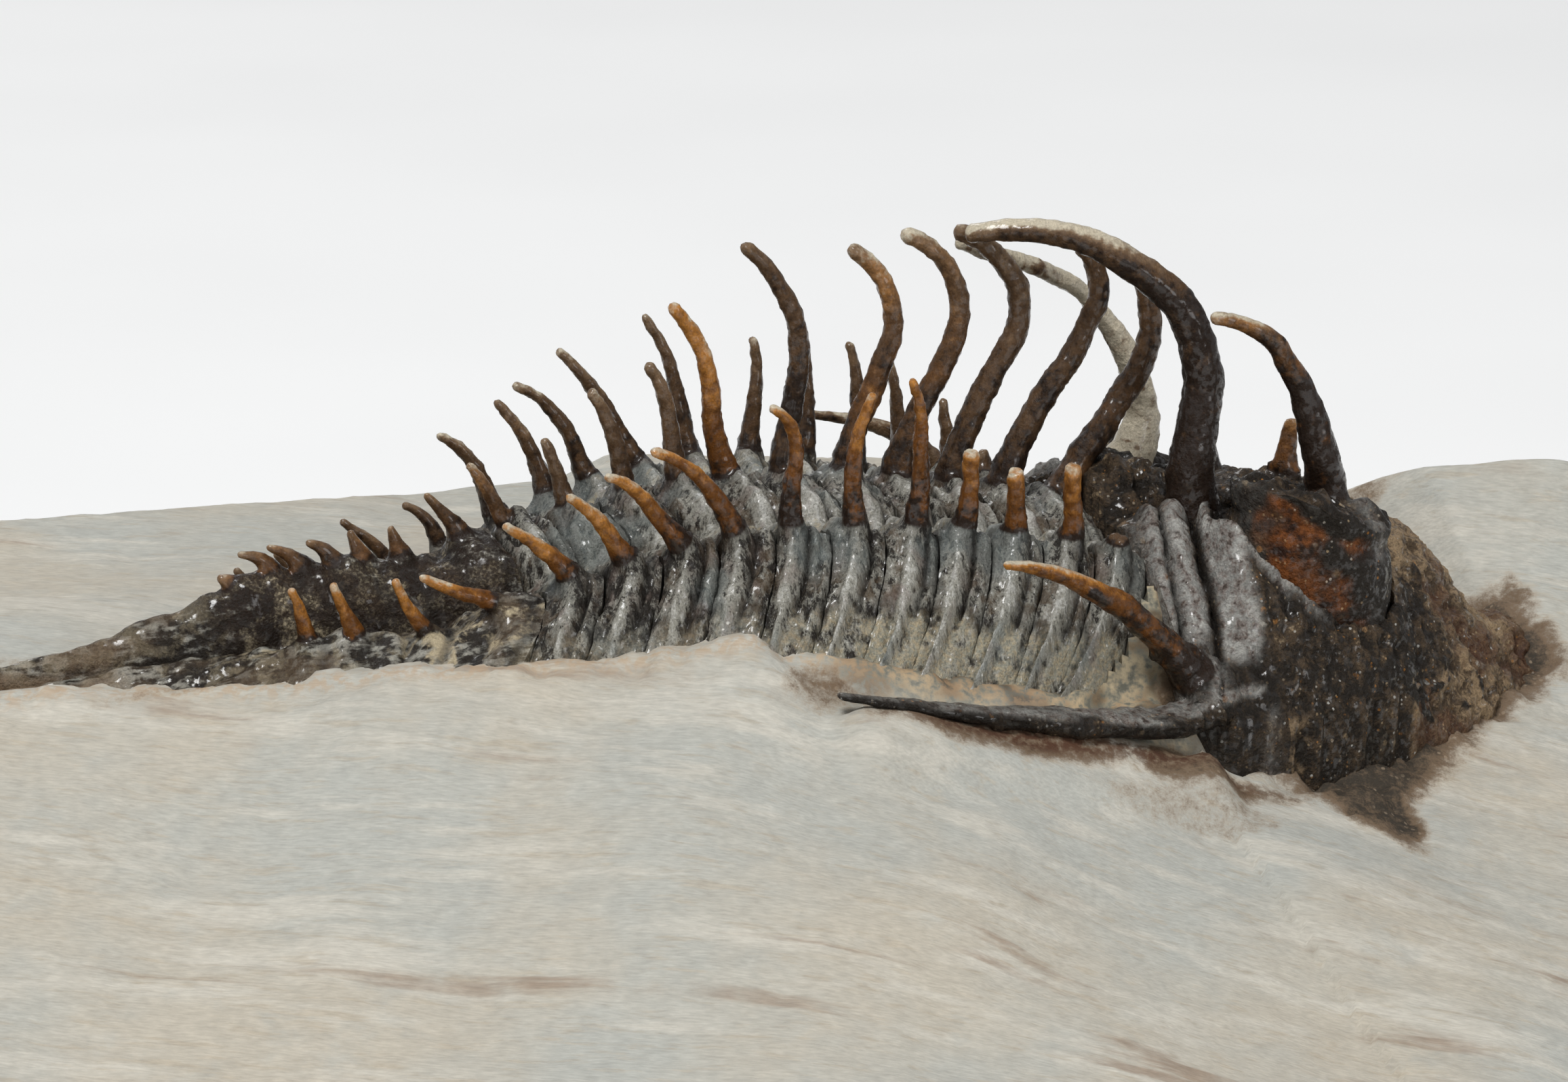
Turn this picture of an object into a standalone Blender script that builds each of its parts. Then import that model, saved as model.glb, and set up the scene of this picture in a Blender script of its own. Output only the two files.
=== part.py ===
"""A spiny trilobite lying in the block of limestone that it was found in.

The animal is described in its own coordinates, in millimetres: ahead towards its head, out
from its middle line (negative on the side that is shown, positive on the other) and up. Its
nodes hang from one empty, which turns and lifts them onto the stone. Every line of the body,
such as its width or the height of its crest, is a smooth curve through a few named places.
"""

import math

import bmesh
import bpy
from mathutils import Vector

MM = 0.001

# The block of stone, which stands on its flat base.
STONE_LENGTH = 80.0
STONE_DEPTH = 58.0
STONE_CORNER_ROUNDING = 0.26
STONE_CELLS = (34, 25)
STONE_BASE_SHARE = 0.96
BACK_LEFT_CUT = 6.5
BACK_LEFT_START = -0.25
BACK_LEFT_WIDTH = 0.55

# Low ripples of the stone's top: height, waves per mm along X and Y in radians, and phase.
RIPPLES = ((0.28, 0.21, 0.35, 0.0), (0.22, -0.12, 0.43, 1.7), (0.14, 0.61, -0.27, 0.6))

# Ragged edges of the block: share of its size, waves from side to side in radians, and phase.
END_RAGGEDNESS = ((0.012, 9.0, 2.0), (0.01, 17.0, 0.0))
SIDE_RAGGEDNESS = ((0.02, 8.0, 1.0), (0.012, 15.0, 0.0))

# How the animal lies on the block.
TURN = math.radians(18.4)
BODY_PLACE = (0.0, 7.0, 24.0)
ROLL = 0.05

# The thorax.
SEGMENTS = 11
FIRST_SEGMENT_AHEAD = 10.9
SEGMENT_PITCH = 2.08
SEAM = 0.2
RIB_HEIGHT = 0.28
AXIAL_FURROW_SHARE = 0.25
FALL_POWER = 1.3
SWEEP_POWER = 1.8
COLUMN_SHARES = (0.5, 0.87)
FLANK_SHARES = (0.35, 0.7)

# Undersides of the pieces, and the hollow in the stone that they lie in.
THORAX_FLOOR = -5.6
PYGIDIUM_FLOOR = -4.4
CEPHALON_FLOOR = -9.0
STONE_GAP = 0.25
CUTTER_TOP = 8.0
BODY_HOLLOW_ROWS = (
    10.0, 8.0, 5.0, 2.0, -1.0, -4.0, -7.0, -10.0, -13.0, -16.0, -19.0, -22.0, -25.0, -28.0,
    -32.0, -36.4)
HEAD_HOLLOW_ROWS = (11.8, 13.0, 14.5, 17.0, 20.0, 23.0, 26.0, 28.5, 31.0, 31.3)
GENAL_GROOVE_GAP = 0.35
GENAL_GROOVE_END = (-0.5, 0.0, 0.1)

# Rows of points across the tail shield, behind its front edge.
PYGIDIUM_ROWS = (
    -12.4, -13.8, -15.3, -16.8, -18.3, -19.8, -21.6, -23.5, -26.0, -29.0, -32.5, -36.0)

# Each line of the body: the places ahead of its middle, and the values there.
CREST_HEIGHT = (
    (-36, -31, -26, -22, -20, -14, -11, -7, -3, 2.5, 7, 11, 13),
    (-3.2, -2.4, -1.4, -0.3, 0.3, 0.6, 1.4, 2.2, 2.7, 2.4, 1.6, 0.8, 1.0))
SHOULDER_HEIGHT = (
    (-36, -31, -26, -23, -19, -15, -12, -8, -3, 2, 7, 11, 13),
    (-3.6, -3.1, -2.5, -2.2, -1.6, -1.3, -0.1, 1.1, 2.0, 1.8, 1.1, 0.2, -0.1))
FOOT_HEIGHT = (
    (-36, -24, -12, -3, 3, 7, 12),
    (-3.8, -3.4, -2.9, -2.6, -3.2, -4.4, -4.9))
AXIS_HALF_WIDTH = (
    (-36, -30, -24, -20, -10, 0, 12),
    (0.12, 0.35, 0.8, 1.3, 2.4, 3.3, 3.7))
SHOULDER_OUT = (
    (-36, -30, -24, -20, -16, -12, -8, -4, 1, 12),
    (0.22, 0.7, 1.5, 2.7, 3.8, 4.7, 5.9, 6.6, 7.0, 7.1))
BODY_HALF_WIDTH = (
    (-36, -30, -25, -20, -16, -12, -8, -4, 0, 8, 12),
    (0.4, 1.4, 2.6, 4.8, 6.3, 7.5, 8.8, 9.8, 10.6, 10.9, 10.4))
RING_BACK = (
    (-36, -24, -12, 0, 3, 12),
    (0.0, 0.2, 0.6, 0.42, 0.1, 0.0))
SWEEP_BACK = (
    (-36, -24, -18, -12, 0, 8, 12),
    (0.0, 0.0, 1.2, 2.3, 2.5, 3.2, 3.6))

# The cephalon, the shield over the head.
CEPHALON_ROWS = (
    12.15, 12.8, 13.6, 14.3, 15.0, 16.4, 18.0, 20.0, 22.0, 24.0, 26.0, 27.6, 29.0, 30.2, 31.0)
CEPHALON_HALF_SHARES = (0.12, 0.24, 0.34, 0.44, 0.58, 0.72, 0.86, 1.0)
CEPHALON_FALL_POWER = 3
CEPHALON_HALF_WIDTH = (
    (12, 14, 17, 20, 23, 26, 28.5, 31),
    (11.6, 12.0, 11.6, 10.5, 8.9, 6.8, 4.7, 2.0))
CEPHALON_CREST = (
    (12, 13, 15, 17, 19, 21, 23, 25.4, 27, 28.5, 31),
    (0.9, 1.2, 0.8, 0.1, 0.1, 0.0, -0.7, -2.1, -3.6, -4.9, -6.6))
CEPHALON_MARGIN = (
    (12, 14, 17, 20, 24, 28, 31),
    (-5.2, -6.0, -7.0, -7.7, -8.1, -8.1, -7.9))
GLABELLA_HALF_WIDTH = (
    (12, 16, 20, 24, 28, 31),
    (3.6, 3.4, 3.9, 4.8, 4.0, 2.0))
GLABELLA_RISE = 0.7
GLABELLA_SLOPE_WIDTH = 2.0
GLABELLA_FURROW = 0.8
GLABELLA_FURROW_WIDTH = 0.7
BORDER_AHEAD = 13.2
BORDER_RISE = 0.55
BORDER_WIDTH = 0.6
BORDER_FURROW_AHEAD = 14.7
BORDER_FURROW_WIDTH = 0.5
EYE_AHEAD = 18.7
EYE_OUT = 6.4
EYE_RADII = (3.3, 2.7)
EYE_FOOT_SHARE = 1.12
EYE_TOP_SHARE = 0.94
EYE_LEAN = 0.06
EYE_SIDES = 16
EYE_FOOT = -4.6
EYE_TOPS = {"near": 1.3, "far": 0.0}

# The lines of the ground beside the body, on the shown side and on the far side.
NEAR_GROUND = (
    (-44, -29, -22, -17.5, -11.4, -7.4, -4.3, -1.2, 3, 7, 14, 20, 26, 32, 44),
    (-3.4, -2.7, -2.8, -2.2, -2.1, -1.3, -0.9, -2.5, -4.0, -5.0, -6.9, -8.0, -8.0, -7.0, -6.0))
FAR_GROUND = (
    (-44, -20, -10, 0, 7, 14, 20, 30, 44),
    (-3.4, -3.0, -2.9, -3.3, -4.6, -6.2, -6.8, -6.6, -5.0))
FAR_PLATEAU = (
    (-44, -20, 0, 14, 24, 32, 38, 46),
    (-2.7, -2.6, -2.8, -3.2, -2.8, -1.6, -0.1, -0.8))
FRONT_SLOPE = ((-10, 0, 15, 25), (0.45, 0.45, 0.3, 0.3))
SLOPE_REACH = 25.0
FAR_SLOPE_WIDTH = 7.0

# Spines, from the first segment to the last. An axial spine has its length in mm, then its lean
# from upright at the root, at each quarter of its length and at the tip, in degrees, positive
# towards the head. A side spine first has how far ahead of its ring's middle it stands, in mm.
AXIAL_SPINES = (
    (11.2, (30, 35, 35, -2, -55)),
    (10.8, (8, 28, 39, 19, -45)),
    (11.9, (6, 24, 35, -29, -74)),
    (11.2, (1, 28, 27, -22, -74)),
    (9.9, (4, 21, 24, -15, -68)),
    (9.8, (-12, 16, 1, -29, -46)),
    (7.4, (-28, -10, -4, -22, -46)),
    (4.9, (-10, -7, -6, -17, -38)),
    (4.4, (-6, -8, -12, -23, -43)),
    (2.9, (-20, -17, -14, -19, -27)),
    (3.0, (-45, -32, -28, -33, -41)))
NEAR_SPINES = (
    (0.0, 0.6, (0, 0, 0, 0, 0)),
    (0.1, 3.1, (4, 0, -2, -3, -2)),
    (0.0, 2.6, (-2, -3, -4, -5, -5)),
    (-0.1, 3.1, (10, 7, 4, 0, -4)),
    (0.2, 6.0, (4, 1, -2, -7, -20)),
    (0.0, 5.4, (-11, -4, 2, 11, 21)),
    (-0.3, 5.3, (-16, -1, 6, -16, -68)),
    (-0.2, 5.3, (-23, -28, -36, -56, -74)),
    (0.0, 4.6, (-34, -37, -36, -47, -80)),
    (0.0, 3.8, (-30, -31, -34, -44, -61)),
    (0.1, 3.6, (-20, -43, -50, -52, -59)))
FAR_SPINES = (
    (0.0, 1.2, (0, 0, 0, 0, 0)),
    (0.5, 3.0, (3, 1, -2, -6, -9)),
    (0.5, 4.3, (3, 2, -3, -8, -10)),
    (0.5, 4.8, (13, 10, 4, -6, -19)),
    (0.4, 5.4, (14, 9, 3, -2, -4)),
    (0.4, 4.8, (3, 7, 10, 3, -10)),
    (0.1, 6.1, (-14, -5, -11, -22, -31)),
    (0.2, 5.8, (-31, -26, -29, -36, -49)),
    (0.0, 5.1, (-19, -19, -25, -47, -78)),
    (0.2, 4.4, (-7, -12, -24, -37, -39)),
    (0.2, 4.2, (-14, -18, -24, -43, -70)))
BROKEN_NEAR_SPINES = 4
AXIAL_RADII = ((0.49, 0.44, 0.32), (0.27, 0.22, 0.14))
PLEURAL_RADII = ((0.4, 0.34, 0.3), (0.34, 0.26, 0.14))
PLEURAL_SPLAY = (8.0, 8.0)

# Spines of the tail shield: how far ahead they stand, then length and lean as above.
PYGIDIAL_HOOKS = (
    (-12.1, 2.4, (0, -19, -41, -41, -42)),
    (-14.4, 1.4, (-10, -14, -18, -17, -13)),
    (-15.9, 1.5, (-5, -13, -22, -26, -27)),
    (-17.1, 1.7, (5, -12, -37, -61, -80)),
    (-18.4, 1.8, (10, -19, -52, -63, -69)),
    (-19.6, 1.7, (10, -16, -47, -68, -80)),
    (-20.9, 0.8, (-11, -28, -45, -60, -75)))
PYGIDIAL_NEAR_SPINES = (
    (-12.3, 3.4, (-40, -68, -68, -63, -66)),
    (-14.8, 2.7, (-45, -38, -31, -26, -23)),
    (-17.4, 2.6, (-21, -24, -26, -23, -20)),
    (-19.3, 2.4, (-4, -13, -16, -21, -28)))
PYGIDIAL_FAR_SPINES = (
    (-12.3, 2.4, (-4, -13, -29, -52, -70)),
    (-14.7, 3.2, (20, 0, -40, -55, -40)),
    (-17.4, 2.4, (-30, -32, -34, -36, -40)),
    (-19.3, 2.1, (-30, -32, -34, -36, -40)))
PYGIDIAL_RADII = (0.34, 0.26, 0.14)

# Spines of the head: root, length, lean, splay outwards at the root and the tip, and radii.
HEAD_SPINES = {
    "near_giant": (
        (15.3, -4.0, 0.2), 17.6, (-12, 15, -37, -71, -108), (4, -26), (0.85, 0.62, 0.24)),
    "far_giant": (
        (14.4, 4.0, -0.4), 16.9, (62, -8, -42, -68, -69), (4, -24), (1.0, 0.58, 0.22)),
    "near_eye": (
        (19.9, -6.0, 0.8), 10.0, (-4, -14, -21, -49, -84), (2, 2), (0.95, 0.44, 0.14)),
    "far_eye": (
        (19.9, 6.0, -0.8), 1.5, (-6, -6, -6, -6, -6), (0, 0), (0.85, 0.6, 0.5)),
    "glabella": (
        (21.2, 1.0, 0.0), 2.4, (3, 3, 4, 5, 5), (0, 0), (0.6, 0.4, 0.25)),
    "near_cheek": (
        (12.9, -10.4, -4.4), 10.1, (-25, -43, -55, -62, -86), (6, 6), (0.65, 0.5, 0.16)),
    "far_cheek": (
        (12.9, 10.4, -4.9), 10.7, (-28, -31, -40, -71, -84), (6, 6), (0.65, 0.48, 0.16)),
}
GENAL_ROOT = (14.6, 11.4, -6.4)
GENAL_TURN = (11.0, 12.4, -5.7)
GENAL_MIDDLE = (5.0, 12.8, -4.5)
GENAL_TIP = (-2.2, 13.0, -2.9)
GENAL_RADII = (1.0, 0.8, 0.25)
FAR_GENAL_RISE = 1.1
GENAL_POINTS = 9

ROOT_SINK = 0.5
SPINE_SIDES_RESOLUTION = 1
SPINE_FEWEST_POINTS = 3
SPINE_POINTS_PER_MM = 0.42
SPINE_STEPS_PER_POINT = 8
WELD_DISTANCE = 0.01

FOSSIL_FINISHES = {
    "cephalon": (0.085, 0.075, 0.065),
    "thorax": (0.16, 0.155, 0.145),
    "pygidium": (0.12, 0.105, 0.09),
}
STONE_COLOUR = (0.52, 0.49, 0.43)


def smooth_step(share):
    """Rises from 0 to 1 with level ends as the share goes from 0 to 1."""
    share = min(max(share, 0.0), 1.0)
    return share * share * (3.0 - 2.0 * share)


def bell(distance):
    """Falls from 1 to 0 on both sides of a line."""
    return math.exp(-distance ** 2)


def value_along(line, ahead):
    """The height or width that a line of the body has at a place, on a smooth curve."""
    places, values = line
    if ahead <= places[0]:
        return values[0]
    if ahead >= places[-1]:
        return values[-1]
    last = len(places) - 1
    index = max(i for i in range(last) if places[i] <= ahead)

    def steepness(i):
        before, after = max(i - 1, 0), min(i + 1, last)
        return (values[after] - values[before]) / (places[after] - places[before])

    span = places[index + 1] - places[index]
    share = (ahead - places[index]) / span
    start, end = steepness(index) * span, steepness(index + 1) * span
    rise = values[index + 1] - values[index]
    return (values[index] + start * share
            + (3.0 * rise - 2.0 * start - end) * share ** 2
            + (start + end - 2.0 * rise) * share ** 3)


def between(values, share):
    """A value read from evenly spaced ones, on straight lines between them."""
    place = min(max(share, 0.0), 1.0) * (len(values) - 1)
    index = min(int(place), len(values) - 2)
    return values[index] + (values[index + 1] - values[index]) * (place - index)


def swept_ahead(ahead, out):
    """Where a line across the body runs: it bows back over the axis, and its ends sweep back."""
    axis = value_along(AXIS_HALF_WIDTH, ahead)
    if abs(out) < axis:
        return ahead - value_along(RING_BACK, ahead) * (1.0 - (out / axis) ** 2)
    shoulder = value_along(SHOULDER_OUT, ahead)
    edge = value_along(BODY_HALF_WIDTH, ahead)
    share = max(0.0, (abs(out) - shoulder) / (edge - shoulder))
    return ahead - value_along(SWEEP_BACK, ahead) * share ** SWEEP_POWER


def body_height(ahead, out):
    """Height of the back of the thorax and the tail shield."""
    side = abs(out)
    axis = value_along(AXIS_HALF_WIDTH, ahead)
    shoulder_out = value_along(SHOULDER_OUT, ahead)
    edge = value_along(BODY_HALF_WIDTH, ahead)
    crest = value_along(CREST_HEIGHT, ahead)
    shoulder = value_along(SHOULDER_HEIGHT, ahead)
    furrow = min(crest, shoulder) - AXIAL_FURROW_SHARE * axis
    if side < axis:
        height = furrow + (crest - furrow) * math.sqrt(1.0 - (side / axis) ** 2)
    elif side < shoulder_out:
        height = furrow + (shoulder - furrow) * smooth_step((side - axis) / (shoulder_out - axis))
    else:
        fall = min((side - shoulder_out) / (edge - shoulder_out), 1.0)
        height = shoulder + (value_along(FOOT_HEIGHT, ahead) - shoulder) * fall ** FALL_POWER
    return height - ROLL * out


def body_columns(ahead, grow=0.0):
    """Places out from the middle where the surface is set: at each of its folds and between."""
    axis = value_along(AXIS_HALF_WIDTH, ahead)
    shoulder = value_along(SHOULDER_OUT, ahead)
    edge = value_along(BODY_HALF_WIDTH, ahead) + grow
    half = [axis * share for share in COLUMN_SHARES]
    half += [axis, (axis + shoulder) / 2.0, shoulder]
    half += [shoulder + (edge - shoulder) * share for share in FLANK_SHARES]
    half += [edge]
    return [-out for out in reversed(half)] + [0.0] + half


def cephalon_height(ahead, out):
    """Height of the head shield, with its glabella, furrows and rear border."""
    width = value_along(CEPHALON_HALF_WIDTH, ahead)
    side = min(abs(out) / width, 1.0)
    crest = value_along(CEPHALON_CREST, ahead)
    margin = value_along(CEPHALON_MARGIN, ahead)
    height = margin + (crest - margin) * (1.0 - side ** CEPHALON_FALL_POWER)
    from_furrow = abs(out) - value_along(GLABELLA_HALF_WIDTH, ahead)
    height -= GLABELLA_FURROW * bell(from_furrow / GLABELLA_FURROW_WIDTH) * (1.0 - side)
    height += GLABELLA_RISE * smooth_step(-from_furrow / GLABELLA_SLOPE_WIDTH) * (1.0 - side)
    height += BORDER_RISE * bell((ahead - BORDER_AHEAD) / BORDER_WIDTH)
    height -= BORDER_RISE * bell((ahead - BORDER_FURROW_AHEAD) / BORDER_FURROW_WIDTH)
    return height - ROLL * out


def ground_height(ahead, out):
    """Height of the stone's upper side around and under the animal."""
    if ahead < 12.0:
        edge = value_along(BODY_HALF_WIDTH, ahead)
    else:
        edge = value_along(CEPHALON_HALF_WIDTH, ahead)
    near = value_along(NEAR_GROUND, ahead)
    far = value_along(FAR_GROUND, ahead)
    if out < -edge:
        steep = value_along(FRONT_SLOPE, ahead)
        beyond = -edge - out
        return near - SLOPE_REACH * (1.0 - math.exp(-steep * beyond / SLOPE_REACH))
    if out > edge:
        plateau = value_along(FAR_PLATEAU, ahead)
        return far + (plateau - far) * smooth_step((out - edge) / FAR_SLOPE_WIDTH)
    across = smooth_step((out + edge) / (2.0 * edge))
    return near + (far - near) * across


def swell(x, y):
    """Low waves of the stone's weathered surface, from a few crossing ripples."""
    return sum(height * math.sin(along_x * x + along_y * y + phase)
               for height, along_x, along_y, phase in RIPPLES)


def remove_everything():
    """Empties the scene before the model is made."""
    for item in list(bpy.data.objects):
        bpy.data.objects.remove(item, do_unlink=True)


def new_collection(name):
    """A collection of the scene, by its name."""
    collection = bpy.data.collections.new(name)
    bpy.context.scene.collection.children.link(collection)
    return collection


def finish_of(name, colour, roughness):
    """A plain material with the piece's own colour."""
    material = bpy.data.materials.new(name)
    material.use_nodes = True
    shader = material.node_tree.nodes["Principled BSDF"]
    shader.inputs["Base Color"].default_value = (*colour, 1.0)
    shader.inputs["Roughness"].default_value = roughness
    shader.inputs["Metallic"].default_value = 0.0
    return material


def add_object(name, mesh, collection, parent, material=None, reference=(0.0, 0.0, 0.0)):
    """An object whose own origin is its reference point, hung from its parent."""
    offset = Vector(reference) * MM
    for vertex in mesh.vertices:
        vertex.co -= offset
    item = bpy.data.objects.new(name, mesh)
    item.location = offset
    item.parent = parent
    collection.objects.link(item)
    if material:
        mesh.materials.append(material)
    return item


def make_tool(item):
    """Marks an object that only cuts others or is joined to them."""
    item.hide_render = True
    item.display_type = "WIRE"
    return item


def boolean(target, operation, other):
    """Joins another closed shape to the target, or cuts the target with it."""
    modifier = target.modifiers.new(other.name, "BOOLEAN")
    modifier.operation = operation
    modifier.solver = "EXACT"
    modifier.object = other


def slab_mesh(name, across, along, surface, floor, floor_share=1.0):
    """A closed slab: a grid bent to surface(column, row) and extruded down to a level floor."""
    form = bmesh.new()
    bmesh.ops.create_grid(form, x_segments=across, y_segments=along, size=1.0)
    for vertex in form.verts:
        column = round((vertex.co.x + 1.0) / 2.0 * across)
        row = round((vertex.co.y + 1.0) / 2.0 * along)
        vertex.co = Vector(surface(column, row)) * MM
    raised = bmesh.ops.extrude_face_region(form, geom=form.faces[:])
    lowered = [part for part in raised["geom"] if isinstance(part, bmesh.types.BMVert)]
    for vertex in lowered:
        vertex.co = Vector((vertex.co.x * floor_share, vertex.co.y * floor_share, floor * MM))
    lowest = set(lowered)
    underside = [face for face in form.faces if all(corner in lowest for corner in face.verts)]
    bmesh.ops.dissolve_faces(form, faces=underside, use_verts=False)
    bmesh.ops.recalc_face_normals(form, faces=form.faces[:])
    mesh = bpy.data.meshes.new(name)
    form.to_mesh(mesh)
    form.free()
    return mesh


def spine_path(root, length, leans, splay, count):
    """Points along a spine, walked from its root by its lean and splay at each step."""
    steps = SPINE_STEPS_PER_POINT * (count - 1)
    step = length / steps
    side = -1.0 if root[1] < 0.0 else 1.0
    point = Vector(root)
    points = [point.copy()]
    for index in range(steps):
        share = (index + 0.5) / steps
        lean = math.radians(between(leans, share))
        outwards = math.radians(between(splay, share))
        direction = Vector((
            math.sin(lean) * math.cos(outwards),
            side * math.sin(outwards),
            math.cos(lean) * math.cos(outwards)))
        point = point + direction * step
        if (index + 1) % SPINE_STEPS_PER_POINT == 0:
            points.append(point.copy())
    return points


def tube(name, points, radii, collection, parent):
    """A tapered tube along the points, made as a curve and turned into a closed mesh."""
    path = bpy.data.curves.new(name, "CURVE")
    path.dimensions = "3D"
    path.bevel_depth = MM
    path.bevel_resolution = SPINE_SIDES_RESOLUTION
    path.use_fill_caps = True
    spline = path.splines.new("POLY")
    spline.points.add(len(points) - 1)
    for index, (target, point) in enumerate(zip(spline.points, points)):
        target.co = (*(Vector(point) * MM), 1.0)
        target.radius = between(radii, index / (len(points) - 1))
    curve = bpy.data.objects.new(name, path)
    collection.objects.link(curve)
    bpy.context.view_layer.update()
    evaluated = curve.evaluated_get(bpy.context.evaluated_depsgraph_get())
    mesh = bpy.data.meshes.new_from_object(evaluated)
    bpy.data.objects.remove(curve, do_unlink=True)
    bpy.data.curves.remove(path)
    form = bmesh.new()
    form.from_mesh(mesh)
    bmesh.ops.remove_doubles(form, verts=form.verts[:], dist=WELD_DISTANCE * MM)
    bmesh.ops.recalc_face_normals(form, faces=form.faces[:])
    form.to_mesh(mesh)
    form.free()
    return make_tool(add_object(name, mesh, collection, parent))


def grow_spine(target, name, root, length, leans, splay, radii, tools, parent):
    """Joins one spine to the piece that it grows from, its root sunk into the piece."""
    count = SPINE_FEWEST_POINTS + round(SPINE_POINTS_PER_MM * length)
    points = spine_path(root, length + ROOT_SINK, leans, splay, count)
    boolean(target, "UNION", tube(name, points, radii, tools, parent))


def surface_root(ahead, out):
    """A spine's root on the back of the thorax or tail shield, sunk a little into it."""
    return (swept_ahead(ahead, out), out, body_height(ahead, out) - ROOT_SINK)


def fade(radii_pair, share):
    """Radii between those of the front spines and those of the rear ones."""
    front, rear = radii_pair
    return tuple(a + (b - a) * share for a, b in zip(front, rear))


def make_segment(number, nodes, tools, parent, material):
    """One ring of the thorax with its rib on each side, its axial spine and two side spines."""
    centre = FIRST_SEGMENT_AHEAD - SEGMENT_PITCH * (number - 1)
    reach = (SEGMENT_PITCH - SEAM) / 2.0
    rows = 3

    def surface(column, row):
        share = row / rows
        ahead = centre - reach + 2.0 * reach * share
        out = body_columns(ahead)[column]
        rib = RIB_HEIGHT * (1.0 if row in (1, 2) else 0.0)
        return (swept_ahead(ahead, out), out, body_height(ahead, out) + rib)

    name = f"thorax_segment_{number:02d}"
    columns = len(body_columns(centre)) - 1
    mesh = slab_mesh(name, columns, rows, surface, THORAX_FLOOR)
    reference = (centre, 0.0, value_along(CREST_HEIGHT, centre))
    segment = add_object(name, mesh, nodes, parent, material, reference)

    share = (number - 1) / (SEGMENTS - 1)
    length, leans = AXIAL_SPINES[number - 1]
    grow_spine(segment, f"{name}_axial_spine", surface_root(centre, 0.0), length, leans,
               (0.0, 0.0), fade(AXIAL_RADII, share), tools, parent)
    for side, spines in ((-1.0, NEAR_SPINES), (1.0, FAR_SPINES)):
        shift, length, leans = spines[number - 1]
        ahead = centre + shift
        root = surface_root(ahead, side * value_along(SHOULDER_OUT, ahead))
        radii = fade(PLEURAL_RADII, 1.0)
        if side < 0.0 and number <= BROKEN_NEAR_SPINES:
            radii = fade(PLEURAL_RADII, 0.0)
        side_name = "near" if side < 0.0 else "far"
        grow_spine(segment, f"{name}_{side_name}_spine", root, length, leans, PLEURAL_SPLAY,
                   radii, tools, parent)


def make_pygidium(nodes, tools, parent, material):
    """The tail shield with its long tail, its row of hooks and its side spines."""
    front = FIRST_SEGMENT_AHEAD - SEGMENT_PITCH * (SEGMENTS - 0.5) - SEAM / 2.0
    places = (front, *PYGIDIUM_ROWS)
    rows = len(places) - 1

    def surface(column, row):
        ahead = places[rows - row]
        out = body_columns(ahead)[column]
        return (swept_ahead(ahead, out), out, body_height(ahead, out))

    columns = len(body_columns(front)) - 1
    mesh = slab_mesh("pygidium", columns, rows, surface, PYGIDIUM_FLOOR)
    reference = (front, 0.0, value_along(CREST_HEIGHT, front))
    shield = add_object("pygidium", mesh, nodes, parent, material, reference)
    for index, (ahead, length, leans) in enumerate(PYGIDIAL_HOOKS):
        grow_spine(shield, f"pygidium_hook_{index}", surface_root(ahead, 0.0), length, leans,
                   (0.0, 0.0), PYGIDIAL_RADII, tools, parent)
    for side, spines in ((-1.0, PYGIDIAL_NEAR_SPINES), (1.0, PYGIDIAL_FAR_SPINES)):
        side_name = "near" if side < 0.0 else "far"
        for index, (ahead, length, leans) in enumerate(spines):
            root = surface_root(ahead, side * value_along(SHOULDER_OUT, ahead))
            grow_spine(shield, f"pygidium_{side_name}_spine_{index}", root, length, leans,
                       PLEURAL_SPLAY, PYGIDIAL_RADII, tools, parent)


def make_eye(name, side, tools, parent):
    """One eye: a tall oval drum, a little narrower at its top."""
    form = bmesh.new()
    height = EYE_TOPS[name] - EYE_FOOT
    bmesh.ops.create_cone(
        form, cap_ends=True, segments=EYE_SIDES, radius1=EYE_FOOT_SHARE, radius2=EYE_TOP_SHARE,
        depth=height)
    for vertex in form.verts:
        from_foot = vertex.co.z + height / 2.0
        vertex.co = Vector((
            EYE_AHEAD + vertex.co.x * EYE_RADII[0],
            side * (EYE_OUT + EYE_LEAN * from_foot) + vertex.co.y * EYE_RADII[1],
            EYE_FOOT + from_foot - ROLL * side * EYE_OUT)) * MM
    mesh = bpy.data.meshes.new(f"{name}_eye_drum")
    form.to_mesh(mesh)
    form.free()
    return make_tool(add_object(f"{name}_eye_drum", mesh, tools, parent))


def genal_path(side):
    """The line of the long spine that runs back over the stone from a corner of the head."""
    stations = (GENAL_ROOT, GENAL_TURN, GENAL_MIDDLE, GENAL_TIP)
    points = []
    for index in range(GENAL_POINTS):
        share = index / (GENAL_POINTS - 1)
        weights = (
            (1.0 - share) ** 3,
            3.0 * share * (1.0 - share) ** 2,
            3.0 * share ** 2 * (1.0 - share),
            share ** 3)
        ahead, out, up = (
            sum(weight * station[axis] for weight, station in zip(weights, stations))
            for axis in range(3))
        rise = FAR_GENAL_RISE if side > 0.0 else 0.0
        points.append((ahead, side * out, up + rise - ROLL * side * out))
    return points


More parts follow.
